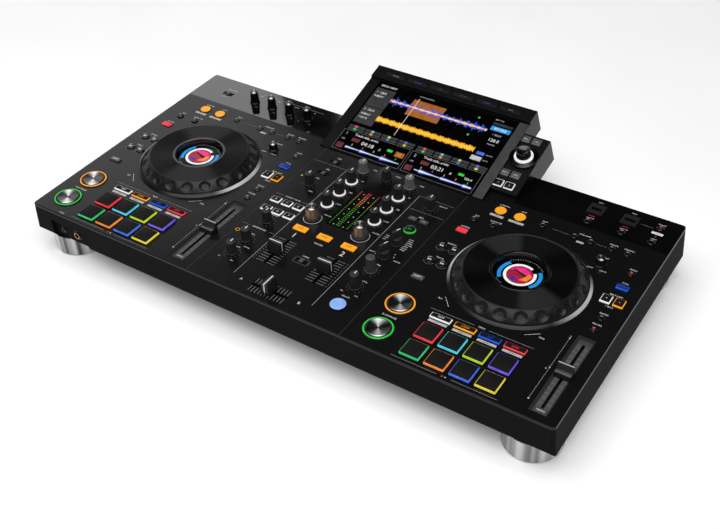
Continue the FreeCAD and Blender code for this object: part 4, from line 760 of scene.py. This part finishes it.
# Keys of the display: six in its band, three pairs on the wing.
band = dict(middle=5.3, pitch=35.4, y=145.6, foot=1.2, top=4)
piece = Piece("DisplayKeys")
piece.place(displayFace)
for column, word in enumerate(("SOURCE", "BROWSE", "TAG", "PLAYLIST", "SEARCH", "MENU")):
    x = band["middle"] + (column - 2.5) * band["pitch"]
    paint = "printWhite" if column in (0, 5) else "litIndigo"
    piece.put(brick(31, 8, band["top"] - band["foot"], 0.2, 0.4), "keyTop", x, band["y"],
              band["foot"])
    piece.put(words(word, 2.6), paint, x, band["y"], band["top"])
for y, *pair in ((166, "BACK", "TAG"), (108.4, "LOAD 1", "VIEW"), (91, "1", "2")):
    for x, word in zip((131.5, 146.5), pair):
        piece.place(wingFace @ at(x, wingSlope(y)))
        if word in ("1", "2"):
            piece.put(brick(13, 11.5, 3, 0.5, 0.3), "litWhite", z=-2.3)
            piece.put(brick(11.2, 9.5, 0.4, 0.1, 0.1), "keyTop", z=0.4)
            piece.put(words(word, 3.4), "printWhite", z=0.81)
        else:
            piece.put(brick(13, 11.5, 3, 0.3, 0.3), "keyGrey", z=-2.25)
            piece.put(words(word, 2.4), "printWhite", z=0.78)
piece.close("display_keys", "key_plastic", "display_keys")
print("keys made")

# Fader caps: a shouldered block with a dished top and a white line over it. A tempo cap is
# higher at its far side, with a grey lip in front.
cap = dict(foot=0.5, half=6, halfTop=3.2, shoulder=3.5, dish=0.8, lipTilt=-18.7)


def faderCap(width, height, tempoCap):
    half, halfTop = cap["half"], cap["halfTop"]
    outline = [(-half, cap["foot"]), (half, cap["foot"])]
    if tempoCap:
        outline += [(half, height - 1.6), (half - 0.6, height - 0.2), (half - 3, height),
                    (half - 3.8, height - 1.4), (0.2, height - 6.4), (-1.6, height - 7.2),
                    (0.8 - half, height - 6), (0.2 - half, height - 6.2), (-half, height - 7.6)]
    else:
        outline += [(half, cap["shoulder"]), (halfTop + 0.5, height - 0.6),
                    (halfTop - 0.3, height), (1, height - cap["dish"]),
                    (-1, height - cap["dish"]), (0.3 - halfTop, height),
                    (-halfTop - 0.5, height - 0.6), (-half, cap["shoulder"])]
    shape = bmesh.new()
    ends = [[shape.verts.new((x, y, z)) for y, z in outline] for x in (-width / 2, width / 2)]
    shape.faces.new(ends[0])
    shape.faces.new(ends[1][::-1])
    for index in range(len(outline)):
        after = (index + 1) % len(outline)
        shape.faces.new((ends[0][index], ends[1][index], ends[1][after], ends[0][after]))
    bmesh.ops.recalc_face_normals(shape, faces=shape.faces)
    rims = [edge for edge in shape.edges if abs(edge.verts[0].co.x - edge.verts[1].co.x) < 0.01]
    bmesh.ops.bevel(shape, geom=rims, offset=0.4, segments=2, profile=0.5, affect="EDGES",
                    material=-1)
    return shape


# Each fader is (width, height, turn).
faders = {"channel_1_fader": (18, 16.5, 0), "channel_2_fader": (18, 16.5, 0),
          "crossfader": (18, 16.5, 90), "left_tempo_fader": (18.5, 12.5, 0),
          "right_tempo_fader": (18.5, 12.5, 0)}
for node, (width, height, turn) in faders.items():
    piece = Piece(titled(node) + "Cap")
    spin = at(*middle(node), deckTop, turn)
    piece.place(spin)
    tempoCap = "tempo" in node
    piece.put(faderCap(width - 0.3, height, tempoCap), "rubberBlack")
    if tempoCap:
        piece.put(brick(width - 0.8, 1.5, 0.3, 0, 0.08, 1), "printPale", 0, cap["half"] - 1.9,
                  height - 0.3)
        piece.place(spin @ at(0, -3.5, height - 6.66, cap["lipTilt"], "X"))
        piece.put(brick(width - 0.9, 3.1, 0.2, 0, 0.06, 1), "rubberGrey")
    else:
        piece.put(brick(width - 0.2, 1.4, 0.4, 0, 0.08, 1), "printWhite", 0, 0,
                  height - cap["dish"] - 0.12)
        for end in (-1, 1):
            piece.put(brick(0.3, 1.4, height - cap["dish"] - 3.4, 0, 0.05, 1), "printWhite",
                      end * (width / 2 - 0.16), 0, 3.2)
    piece.place(spin)
    piece.put(brick(4, 1.8, 6), "screwSteel", 0, 0, -5.4, 90)
    piece.close(node, "cap_black", node)
print("faders made")

# Print a hair above the panel. Plates carry dark words.
ink = Piece("PanelPrint")
level = deckTop + 0.04
plateLift = 0.03


def label(word, x, y, height, paint="printWhite", z=level, align="CENTER"):
    ink.put(words(word, height, align), paint, x, y, z)


def patch(width, depth, paint, x, y, z=level):
    ink.put(oblong(width, depth), paint, x, y, z)


def plate(word, x, y, width, depth, height, paint="printPale"):
    patch(width, depth, paint, x, y)
    label(word, x, y, height, "printBlack", level + plateLift)


def stripe(x0, y0, x1, y1, width=0.5, paint="printGrey", z=level):
    length = math.hypot(x1 - x0, y1 - y0)
    angle = math.degrees(math.atan2(y1 - y0, x1 - x0))
    ink.put(oblong(length, width), paint, (x0 + x1) / 2, (y0 + y1) / 2, z, angle)


# Each line is (word, x, y, height), with x from the middle of the deck.
deckWords = [
    ("LOOP IN", -76.7, 61.6, 2.5), ("OUT", -50.7, 61.6, 2.5), ("EXIT", -20.6, 57.6, 2.3),
    ("CUE/LOOP", 30.9, 57.6, 2.3), ("DELETE", 67.2, 57.6, 2.3), ("MEMORY", 86.5, 57.6, 2.3),
    ("SLIP", -97, 27, 2.3), ("QUANTIZE", -71.3, 27, 2.3), ("REVERSE", -99, 0.4, 2.3),
    ("SEARCH", -96.5, -37, 2.3), ("TRACK", -96.5, -66, 2.3),
    ("PLAY/PAUSE", -94.7, -180.7, 2.5), ("PADS", 0.5, -145.2, 2.5),
    ("1 - 8", 0.5, -229.3, 2.3), ("WEIGHT", 66.3, 31, 2.3), ("LIGHT", 58.5, 7.4, 2),
    ("HEAVY", 74.5, 7.4, 2), ("HOLD", 103.5, 27, 2.3), ("SYNC", 104.3, 0.6, 2.3),
    ("BEAT JUMP", 103.6, -23.6, 2.3), ("1 BEAT", 103.6, -44.6, 2.2),
    ("RANGE", 103.5, -58, 2.3), ("MASTER", 103.5, -77, 2.2), ("REV", -61.5, -126.5, 2.2),
    ("FWD", 62, -126.5, 2.2), ("+", 87.3, -108, 2.4), ("0", 84.4, -164, 2.2),
]
labelScale = 1.35
tempoLine = dict(x=87.3, low=-210.5, middle=-160.7, high=-111)
for deck in deckX.values():
    ink.place(at(deck))
    for word, x, y, height in deckWords:
        label(word, x, y, height * labelScale)
    for x0, x1 in ((-63, -8), (9, 62)):
        for y in (-145.2, -229.3):
            stripe(x0, y, x1, y, 0.45)
    for x, width in ((-76.7, 18), (-50.7, 20)):
        plate("4 BEAT", x, 38.8, width, 4, 2.2)
    patch(9, 3.2, "printPale", 30.6, 42.6)
    for column in range(4):
        plate("BANK " + str(column + 1), pads["x"] + pads["pitch"] * column, -162.8, 23, 3.6,
              2.4)
    stripe(-58, -121, -47, -134, 0.4, "printWhite")
    stripe(58, -121, 44, -131, 0.4, "printWhite")
    stripe(-8, cueRow, 14, cueRow, 0.3)
    stripe(47, cueRow, 61, cueRow, 0.3)
    stripe(tempoLine["x"], tempoLine["low"], tempoLine["x"], tempoLine["high"], 0.45)
    for key in ("low", "middle", "high"):
        ink.put(disc(0.9, 12), "printWhite", tempoLine["x"], tempoLine[key], level)
    for x in (-104.7, -88.2):
        for y in (-46.5, -75.4):
            ink.put(arc(6.9, 7.2, 200, 340, 10), "printGrey", x, y, level)
print("deck print made")

# Tempo scales in their recesses: a near black floor of painted shade, left open along the slot
# and standing for the shadowed walls of a deeper recess, a grey frame round the slot, and ticks.
tempo = dict(x=103, y=-162, width=20.4, length=123.4, slotX=104.5, slotY=-164, slot=102,
             slotHalfWidth=1.5, z=deckTop - 0.96, frame=0.02, ticks=0.04, pitch=2.5)
slotShift = tempo["slotX"] - tempo["x"]
half, halfWidth = tempo["slot"] / 2, tempo["width"] / 2
for deck in deckX.values():
    ink.place(at(deck + tempo["x"], 0, tempo["z"]))
    for x0, x1 in ((-halfWidth, slotShift - tempo["slotHalfWidth"]),
                   (slotShift + tempo["slotHalfWidth"], halfWidth)):
        ink.put(oblong(x1 - x0, tempo["slot"]), "deepBlack", (x0 + x1) / 2, tempo["slotY"])
    for low, high in ((tempo["y"] - tempo["length"] / 2, tempo["slotY"] - half),
                      (tempo["slotY"] + half, tempo["y"] + tempo["length"] / 2)):
        ink.put(oblong(tempo["width"], high - low), "deepBlack", 0, (low + high) / 2)
    ink.place(at(deck + tempo["slotX"], tempo["slotY"], tempo["z"]))
    for width, depth, x, y in ((5.8, tempo["slot"], -4.6, 0), (5.8, tempo["slot"], 4.6, 0),
                               (15, 7, 0, half + 3.5), (15, 7.6, 0, -half - 3.8)):
        patch(width, depth, "scaleGrey", x, y, tempo["frame"])
    for tick in range(41):
        y = (tick - 20) * tempo["pitch"]
        for end in (-1, 1):
            stripe(end * 2.2, y, end * 7, y, 0.6 if tick % 3 == 2 else 0.3, z=tempo["ticks"])
    label("TEMPO", 0, -54.8, 3.2, z=tempo["ticks"])
ink.place(at())

# Mixer print, from words beside the channel knobs to rules between its columns.
channelWords = [("TRIM", 47.2, 44.6), ("HI", 46.4, 15.6), ("MID", 46.8, -12.2),
                ("LOW", 46.8, -39.9), ("COLOR", 48.2, -66)]
channelPitch = faderX[1] - faderX[0]
crossY, channelY = -214.4, -153.6
mixerWords = [(word, x - shift, y, 2.2) for shift in (0, channelPitch)
              for word, x, y in channelWords]
mixerWords += [
    ("MASTER", 0.5, -118, 2.5), ("LEVEL", 11.4, 47, 2.2), ("LINE", -77.2, 43, 2.3),
    ("USB", -77.2, 15.4, 2.3), ("MIC", -77.2, -7.2, 2.3), ("LEVEL", -69, -35.4, 2),
    ("SOUND COLOR", -79, -59.4, 2.3), ("AMOUNT", -79, -98.8, 2),
    ("HEADPHONES", -79, -129.2, 2.3), ("MIX", -78.6, -142.4, 2),
    ("MASTER", -69.6, -166.4, 1.7), ("LEVEL", -79.6, -170.6, 1.9), ("MIN", -89.4, -194.6, 1.6),
    ("MAX", -70.6, -194.6, 1.6), ("A", -40.6, crossY, 4), ("B", 40.6, crossY, 4),
    ("BOOTH", 92.4, 20.6, 2.2), ("BEAT", 79.7, -11.6, 2.2), ("ROLL", 62.6, -61.2, 1.7),
    ("GATE", 62.4, -65, 1.7), ("CUT", 62, -68.8, 1.7), ("INPUT", 62.4, -95.9, 2),
    ("1", 68.4, -92.2, 1.8), ("2", 67.8, -97.6, 1.8), ("A", 88.9, -87.6, 1.8),
    ("B", 90.4, -92.8, 1.8), ("MASTER", 97.6, -98.2, 1.9), ("TIME", 82.4, -113.6, 2),
    ("LEVEL", 84.6, -146.4, 2), ("MIN", 70, -172.2, 1.6), ("MAX", 89.4, -172.2, 1.6),
    ("ON/OFF", 79.7, -178.6, 2.2), ("CURVE", 1, -144.6, 2.2),
]
for word, x, y, height in mixerWords:
    label(word, x, y, height * labelScale)
effectNames = ("ECHO", "DELAY", "REVERB", "FLANGER", "FILTER", "PHASER", "SWEEP")
for line, word in enumerate(effectNames):
    label(word, 88.6 + 0.5 * math.sin(line), -55 - 3.6 * line, 2.3, align="LEFT")
for digit, x in zip("12", faderX):
    label(digit, x, -118.6, 12)
for x in (-54.8, 55.3):
    stripe(x, -210, x, 26.3, 0.7)
for y in (-59.4, -129.2):
    stripe(-105, y, -93, y, 0.4)
    stripe(-65, y, -56.4, y, 0.4)
for x0, x1, y in ((56.4, 104, -1.6), (56.4, 104, 26.3), (-105, -56.4, 26.3)):
    stripe(x0, y, x1, y, 0.35)

# A white ring round each colour knob and a fan of dots round the other mixer knobs.
for node, kindName in knobNodes.items():
    if kindName in ("feel", "mic"):
        continue
    x, y = middle(node)
    if kindName == "colour":
        ink.put(arc(11.2, 11.8), "printWhite", x, y, level)
        continue
    reach = knobKinds[kindName]["skirt"][0] + 2.4
    for angle in range(-150, 151, 30):
        place = math.radians(90 - angle)
        ink.put(disc(0.4, 8), "printGrey", x + reach * math.cos(place),
                y + reach * math.sin(place), level)

# Scales of the channel faders and the crossfader.
ticks = [(tick - 5) * 4.5 for tick in range(11)]
for x in faderX:
    for shift in ticks:
        y = channelY + shift
        for end in (-1, 1):
            stripe(x + end * 2.4, y, x + end * 13, y)
        ink.put(disc(0.5, 8), "printGrey", x + math.copysign(16.6, x), y, level)
for x in ticks:
    for end in (-1, 1):
        stripe(x, crossY + end * 2.6, x, crossY + end * 11.6)
ink.put(arc(2.2, 2.8), "litOrange", -101, -144, level)
ink.put(disc(1.2, 16), "litLime", -99, -12, level)

# A frame round the curve switch.
for width, depth, x, y in ((22, 1.6, 1, -148.9), (22, 1.6, 1, -158.3),
                           (2.4, 9.4, -8.8, channelY), (2.4, 9.4, 10.8, channelY)):
    patch(width, depth, "greyFrameAndBevelHighlight", x, y)

# Seams between the decks and the mixer, each with a pale edge at its right.
seam = dict(low=-234, high=56.4, z=deckTop + 0.02)
for x in (-107, 107):
    for shift, width, paint in ((0, 0.35, "deepBlack"), (0.4, 0.2, "keyGrey")):
        stripe(x + shift, seam["low"], x + shift, seam["high"], width, paint, seam["z"])

# Glossy window with the level meter and its lit rows.
patch(35.6, 132, "glossBlack", 0.9, -13.6, deckTop + 0.03)
meter = dict(rows=20, low=-75.4, pitch=3.8, lastGreen=11, lastAmber=17, z=deckTop + 0.06)
narrowLights = ("litLeaf", "litOlive", "litPink")
wideLights = ("litLeaf", "litAmber", "litRed")
for row in range(meter["rows"]):
    y = meter["low"] + row * meter["pitch"]
    zone = 2 if row > meter["lastAmber"] else 1 if row > meter["lastGreen"] else 0
    for x, width, lights in ((-12.2, 1.3, narrowLights), (-1.9, 1.7, wideLights),
                             (1.3, 1.7, wideLights), (13.4, 1.3, narrowLights)):
        patch(width, 1.5, lights[zone], x, y, meter["z"])
    if row % 3 == 0:
        for x in (-6.6, 7.4):
            patch(1.8, 1.3, "printPale", x, y, meter["z"])

# Print on the glossy strips and beside the jack.
for index, word in enumerate(("MIC 1", "MIC 2", "LOW", "HI")):
    x = -261.4 + 30.5 * index
    label(word, x, 118.6, 2.5)
    for end, limit in ((-9.4, "MIN"), (9.4, "MAX")):
        label(limit, x + end, 91.6, 1.9, "printGrey")
for word, x in zip(("USB 1", "USB 2"), usbX):
    label(word, x, 126.6, 2.6)
    patch(8, 1.2, "litCrimson", x, 96.7)
    label("USB STOP", x, 92, 2.3)
for word, x, y, height in (("MICROPHONE", -309.4, 111, 2.5), ("OFF   ON", -309.4, 91.4, 2.2),
                           ("STANDBY", standbyX, 122.4, 2.3), ("MEDIA", standbyX, 92, 2.3),
                           ("PHONES", -313, -230.6, 2.2)):
    label(word, x, y, height)
plate("LOCK", standbyX, 103.8, 14, 4.2, 2.3, "printWhite")
stripe(-274, 123.6, -158, 123.6, 0.4)
stripe(312, 111.7, 328, 111.7, 0.3)
stripe(standbyX, 101, standbyX, 95, 0.3)
ink.close("console", "panel_black")
print("mixer print made")

# Picture on the display: wave bands, lists and time, drawn as lit shapes on the glass.
screen = Piece("ScreenPicture")
screen.place(displayFace)


def panel(x0, x1, y0, y1, paint, z=-0.04):
    screen.put(oblong(x1 - x0, y1 - y0), paint, (x0 + x1) / 2, (y0 + y1) / 2, z)


def caption(text, x, y, height, paint="screenText", align="LEFT"):
    screen.put(words(text, height, align), paint, x, y, 0.02)


def wave(x0, x1, y, height, step, paint, seed, z, beat=0.11):
    # A band of upright bars that jump up at each beat and fall off after it.
    for index in range(int((x1 - x0) / step)):
        x = x0 + (index + 0.5) * step
        fall = 1 - (seed + index * beat) % 1
        swing = 0.25 + 0.6 * fall * fall + 0.15 * math.sin(seed + index * 2.3)
        swing *= 0.85 + 0.15 * math.sin(index * 0.13 + seed)
        panel(x - step * 0.45, x + step * 0.45, y - height * swing, y + height * swing, paint, z)


# The bevel beside the screen is painted lighter: a painted highlight where the light falls on it.
panel(112.7, 126.3, 0.6, 134, "greyFrameAndBevelHighlight", 0.03)
# The glossy boss round the selector knob gets painted highlight wedges in its tone.
screen.place(browsePlace)
browseMetal = finish("BrowseRing", dict(spun, dark="#161617", light="#58585a"),
                     (browse["x"], browse["y"]))
screen.put(arc(*browse["boss"], steps=64), browseMetal, z=browse["bossTop"])
screen.place(displayFace)
panel(-99, -69, 87, 122, "screenGrey")
panel(-99, -69, 54, 86, "screenGrey")
deckLines = ((127, "DECK VIEW"), (114, "1  128.0"), (107, "4 BEAT"), (80, "2  126.4"),
             (71.5, "8 BEAT"), (64.5, "+0.0 %"))
for y, word in deckLines:
    caption(word, -96, y, 4.8, "litWhite")
caption("NOW PLAYING", -34, 127, 3.2)
panel(-38.5, 11, 91, 120, "litLoop", -0.05)
for height, paint, seed, z in ((9.6, "litBlue", 0.4, -0.02), (4, "litOrange", 1.7, 0),
                               (1.3, "litWhite", 2.9, 0.02)):
    wave(-69, 79, 106, height, 1.2, paint, seed, z)
for index in range(124):
    swing = 0.72 + 0.16 * math.sin(index * 1.9) + 0.12 * math.sin(index * 0.71)
    x = -69.4 + 1.2 * index
    for half, height, paint, z in ((0.6, 5.6, "litOrange", -0.02), (0.5, 2.6, "litYellow", 0)):
        panel(x - half, x + half, 70 - height * swing, 70 + height * swing, paint, z)
panel(-32.4, -31.8, 52, 123, "litWhite", 0.03)
for x in range(-60, 80, 12):
    for y in (94.5, 117.5, 60.5, 80.5):
        panel(x - 0.15, x + 0.15, y - 0.7, y + 0.7, "screenGrey")
for y in (122, 90):
    screen.put(disc(1.6, 12), "litMint", 59, y, 0)

# A field for each deck: cue colours above a frame with number, title, time and track wave.
deckFields = ((0, "1", "04:18", ".2"), (106.5, "2", "03:21", ".8"))
cueColours = (("litPink", "litGreen"), ("litCyan", "litAmber"), ("litLime", "litIndigo"),
              ("litViolet", "litLime"))
for shift, number, time, tenths in deckFields:
    for column, (upper, lower) in enumerate(cueColours):
        x = -88 + 26 * column + shift
        for y, light in ((46.4, upper), (41.6, lower)):
            panel(x - 10.5, x + 13.5, y - 2, y + 2, "screenGrey")
            panel(x - 1.9, x + 1.9, y - 1.8, y + 1.8, light, 0)
    left = -101 + shift
    for y in (2.6, 38):
        panel(left, left + 103, y - 0.15, y + 0.15, "printGrey")
    for x in (left, left + 103):
        panel(x - 0.15, x + 0.15, 2.6, 38, "printGrey")
    caption(number, left + 5, 32, 6.6)
    caption("Track title, artist", left + 19, 33.4, 5.4, "litWhite")
    panel(left + 19, left + 31, 22, 28, "screenMaroon")
    panel(left + 3, left + 13, 6, 15, "screenMaroon")
    caption("USB", left + 4, 22, 3.2)
    caption(time, left + 35, 23, 8.6, "litWhite")
    caption(tenths, left + 62, 22, 5, "litWhite")
    panel(left + 74, left + 82, 24, 28, "litGreen")
    if shift:
        caption("126.4", left + 84, 22, 5.2, "litWhite")
    else:
        panel(left + 87, left + 100, 20, 28.5, "litLoop")
        caption("3A", left + 89.5, 24.2, 6, "litAmber")
    for height, paint, z in ((4.2, "litIndigo", -0.02), (2, "litWhite", 0)):
        wave(left + 17, left + 100, 10.5, height, 1, paint, 0.3 + shift, z, 0.031)
    for index, light in enumerate(("litLime", "litPink", "litYellow", "litAmber", "litGreen")):
        panel(left + 24 + 17 * index, left + 24.8 + 17 * index, 14.5, 18, light, 0)

# The effect column at the right.
caption("BEAT FX", 81, 127, 3.2)
for box in ((81, 109, 118.5, 122.5, "screenGrey"), (81.5, 109, 108.5, 116, "litAzure"),
            (84, 95, 64.5, 69.5, "litIndigo"), (80, 95, 54, 61.5, "screenText")):
    panel(*box)
effectLines = (("REVERB", 112.2, 5.2, "litWhite"), ("1 BEAT", 102, 4.2, "screenText"),
               ("128.0", 92.5, 7, "litWhite"), ("MASTER", 85, 3, "screenText"))
for word, y, height, paint in effectLines:
    caption(word, 95, y, height, paint, "CENTER")
caption("QUANT", 97, 67, 2.8)
caption("AUTO", 97, 57.6, 2.8)
screen.close("console", "screen_black")
print("screen picture made")

# Print on the rear panel, whose face looks along +y.
back = Piece("RearPrint")
back.place(at(0, 135.45, 0, 180) @ at(turn=90, axis="X"))
for word, x in (("MIC 1", 262), ("MIC 2", 228), ("OUT L", -182), ("OUT R", -214),
                ("MAINS", -282), ("ON/OFF", -318)):
    back.put(words(word, 3), "printWhite", x, 60.6, 0.05)
for index, word in enumerate(("1 L", "1 R", "2 L", "2 R", "AUX", "AUX", "OUT", "OUT")):
    back.put(words(word, 2.6), "printWhite", 170 - 18 * index, 55, 0.05)
back.close("console", "case_black")

# Rings of the headphone jacks in the front.
jacks = Piece("JackRings")
jacks.place(at(0, frontY, 0, 90, "X"))
for x, nut, bore, paint in ((-294.4, 4.9, 3.2, "brass"), (-317.9, 3.4, 1.8, "screwSteel")):
    jacks.put(turned([(bore, -5.2), (bore, -3.36), (nut - 0.3, -3.36), (nut - 0.02, -3.7),
                      (nut - 0.02, -4.9)]), paint, x, 40.6)
jacks.close("console", "socket_black")
print("trim made")

# Ground, light and camera.
ground = bpy.data.objects.new("Ground", bpy.data.meshes.new("Ground"))
floor = bmesh.new()
bmesh.ops.create_grid(floor, x_segments=1, y_segments=1, size=3.4)
floor.to_mesh(ground.data)
floor.free()
paper = mix("#f2f2f2", "#f6f6f6", 300, (0.8, 0.9), 0.01, glow=0.14, unlit=1)
ground.data.materials.append(finish("GroundPaper", paper))
bpy.context.scene.collection.objects.link(ground)

# The world is pale near the horizon and dark above, so that flat black parts stay black.
sky = bpy.data.worlds.new("Studio")
sky.use_nodes = True
bpy.context.scene.world = sky
tree = sky.node_tree
tree.nodes.clear()
way = addNode(tree, "TexCoord", {}, out="Generated")
up = addNode(tree, "SeparateXYZ", {}, {"Vector": way}, "Z")
shade = addNode(tree, "ValToRGB", {}, {"Fac": up})
setRamp(shade.node.color_ramp, (0.14, 0.36), ("#e4e7ea", "#1c1d1e"))
glow = addNode(tree, "Background", {"Strength": 1}, {"Color": shade})
addNode(tree, "OutputWorld", {}, {"Surface": glow})

# Places and sizes of the lights are metres.
lights = {
    "TopBox": dict(place=(0.2, -0.95, 2.8), aim=(0.2, -0.95, 0), size=(4.2, 3.4), power=130),
    "BackBox": dict(place=(-2.35, 1.55, 1.55), aim=(-0.3, 0.1, 0.07), size=(1.53, 0.9),
                    power=6.8),
    "BackCard": dict(place=(-1.32, 2.1, 1.6), aim=(0, 0.03, 0.07), size=(0.36, 0.3), power=0.4),
}
for name, lit in lights.items():
    data = bpy.data.lights.new(name, "AREA")
    data.shape = "RECTANGLE"
    data.size, data.size_y = lit["size"]
    data.energy = lit["power"]
    thing = bpy.data.objects.new(name, data)
    thing.location = lit["place"]
    aim = Vector(lit["aim"]) - thing.location
    thing.rotation_euler = aim.to_track_quat("-Z", "Y").to_euler()
    bpy.context.scene.collection.objects.link(thing)

shot = dict(place=(586.1, -881.6, 849.8), azimuth=34.6, elevation=40.25, roll=-2.49,
            lens=52, sensor=36, clip=0.05)
azimuth, elevation, roll = (math.radians(shot[key]) for key in ("azimuth", "elevation", "roll"))
ahead = Vector((-math.sin(azimuth) * math.cos(elevation), math.cos(azimuth) * math.cos(elevation),
                -math.sin(elevation)))
right = ahead.cross(Vector((0, 0, 1))).normalized()
up = right.cross(ahead)
right, up = (right * math.cos(roll) + up * math.sin(roll),
             up * math.cos(roll) - right * math.sin(roll))
camera = bpy.data.objects.new("Camera", bpy.data.cameras.new("Camera"))
camera.data.lens = shot["lens"]
camera.data.sensor_width = shot["sensor"]
camera.data.clip_start = shot["clip"]
camera.matrix_world = Matrix((right, up, -ahead)).transposed().to_4x4()
camera.location = Vector(shot["place"]) * mm
bpy.context.scene.collection.objects.link(camera)
bpy.context.scene.camera = camera

bpy.context.scene.view_settings.view_transform = "Standard"
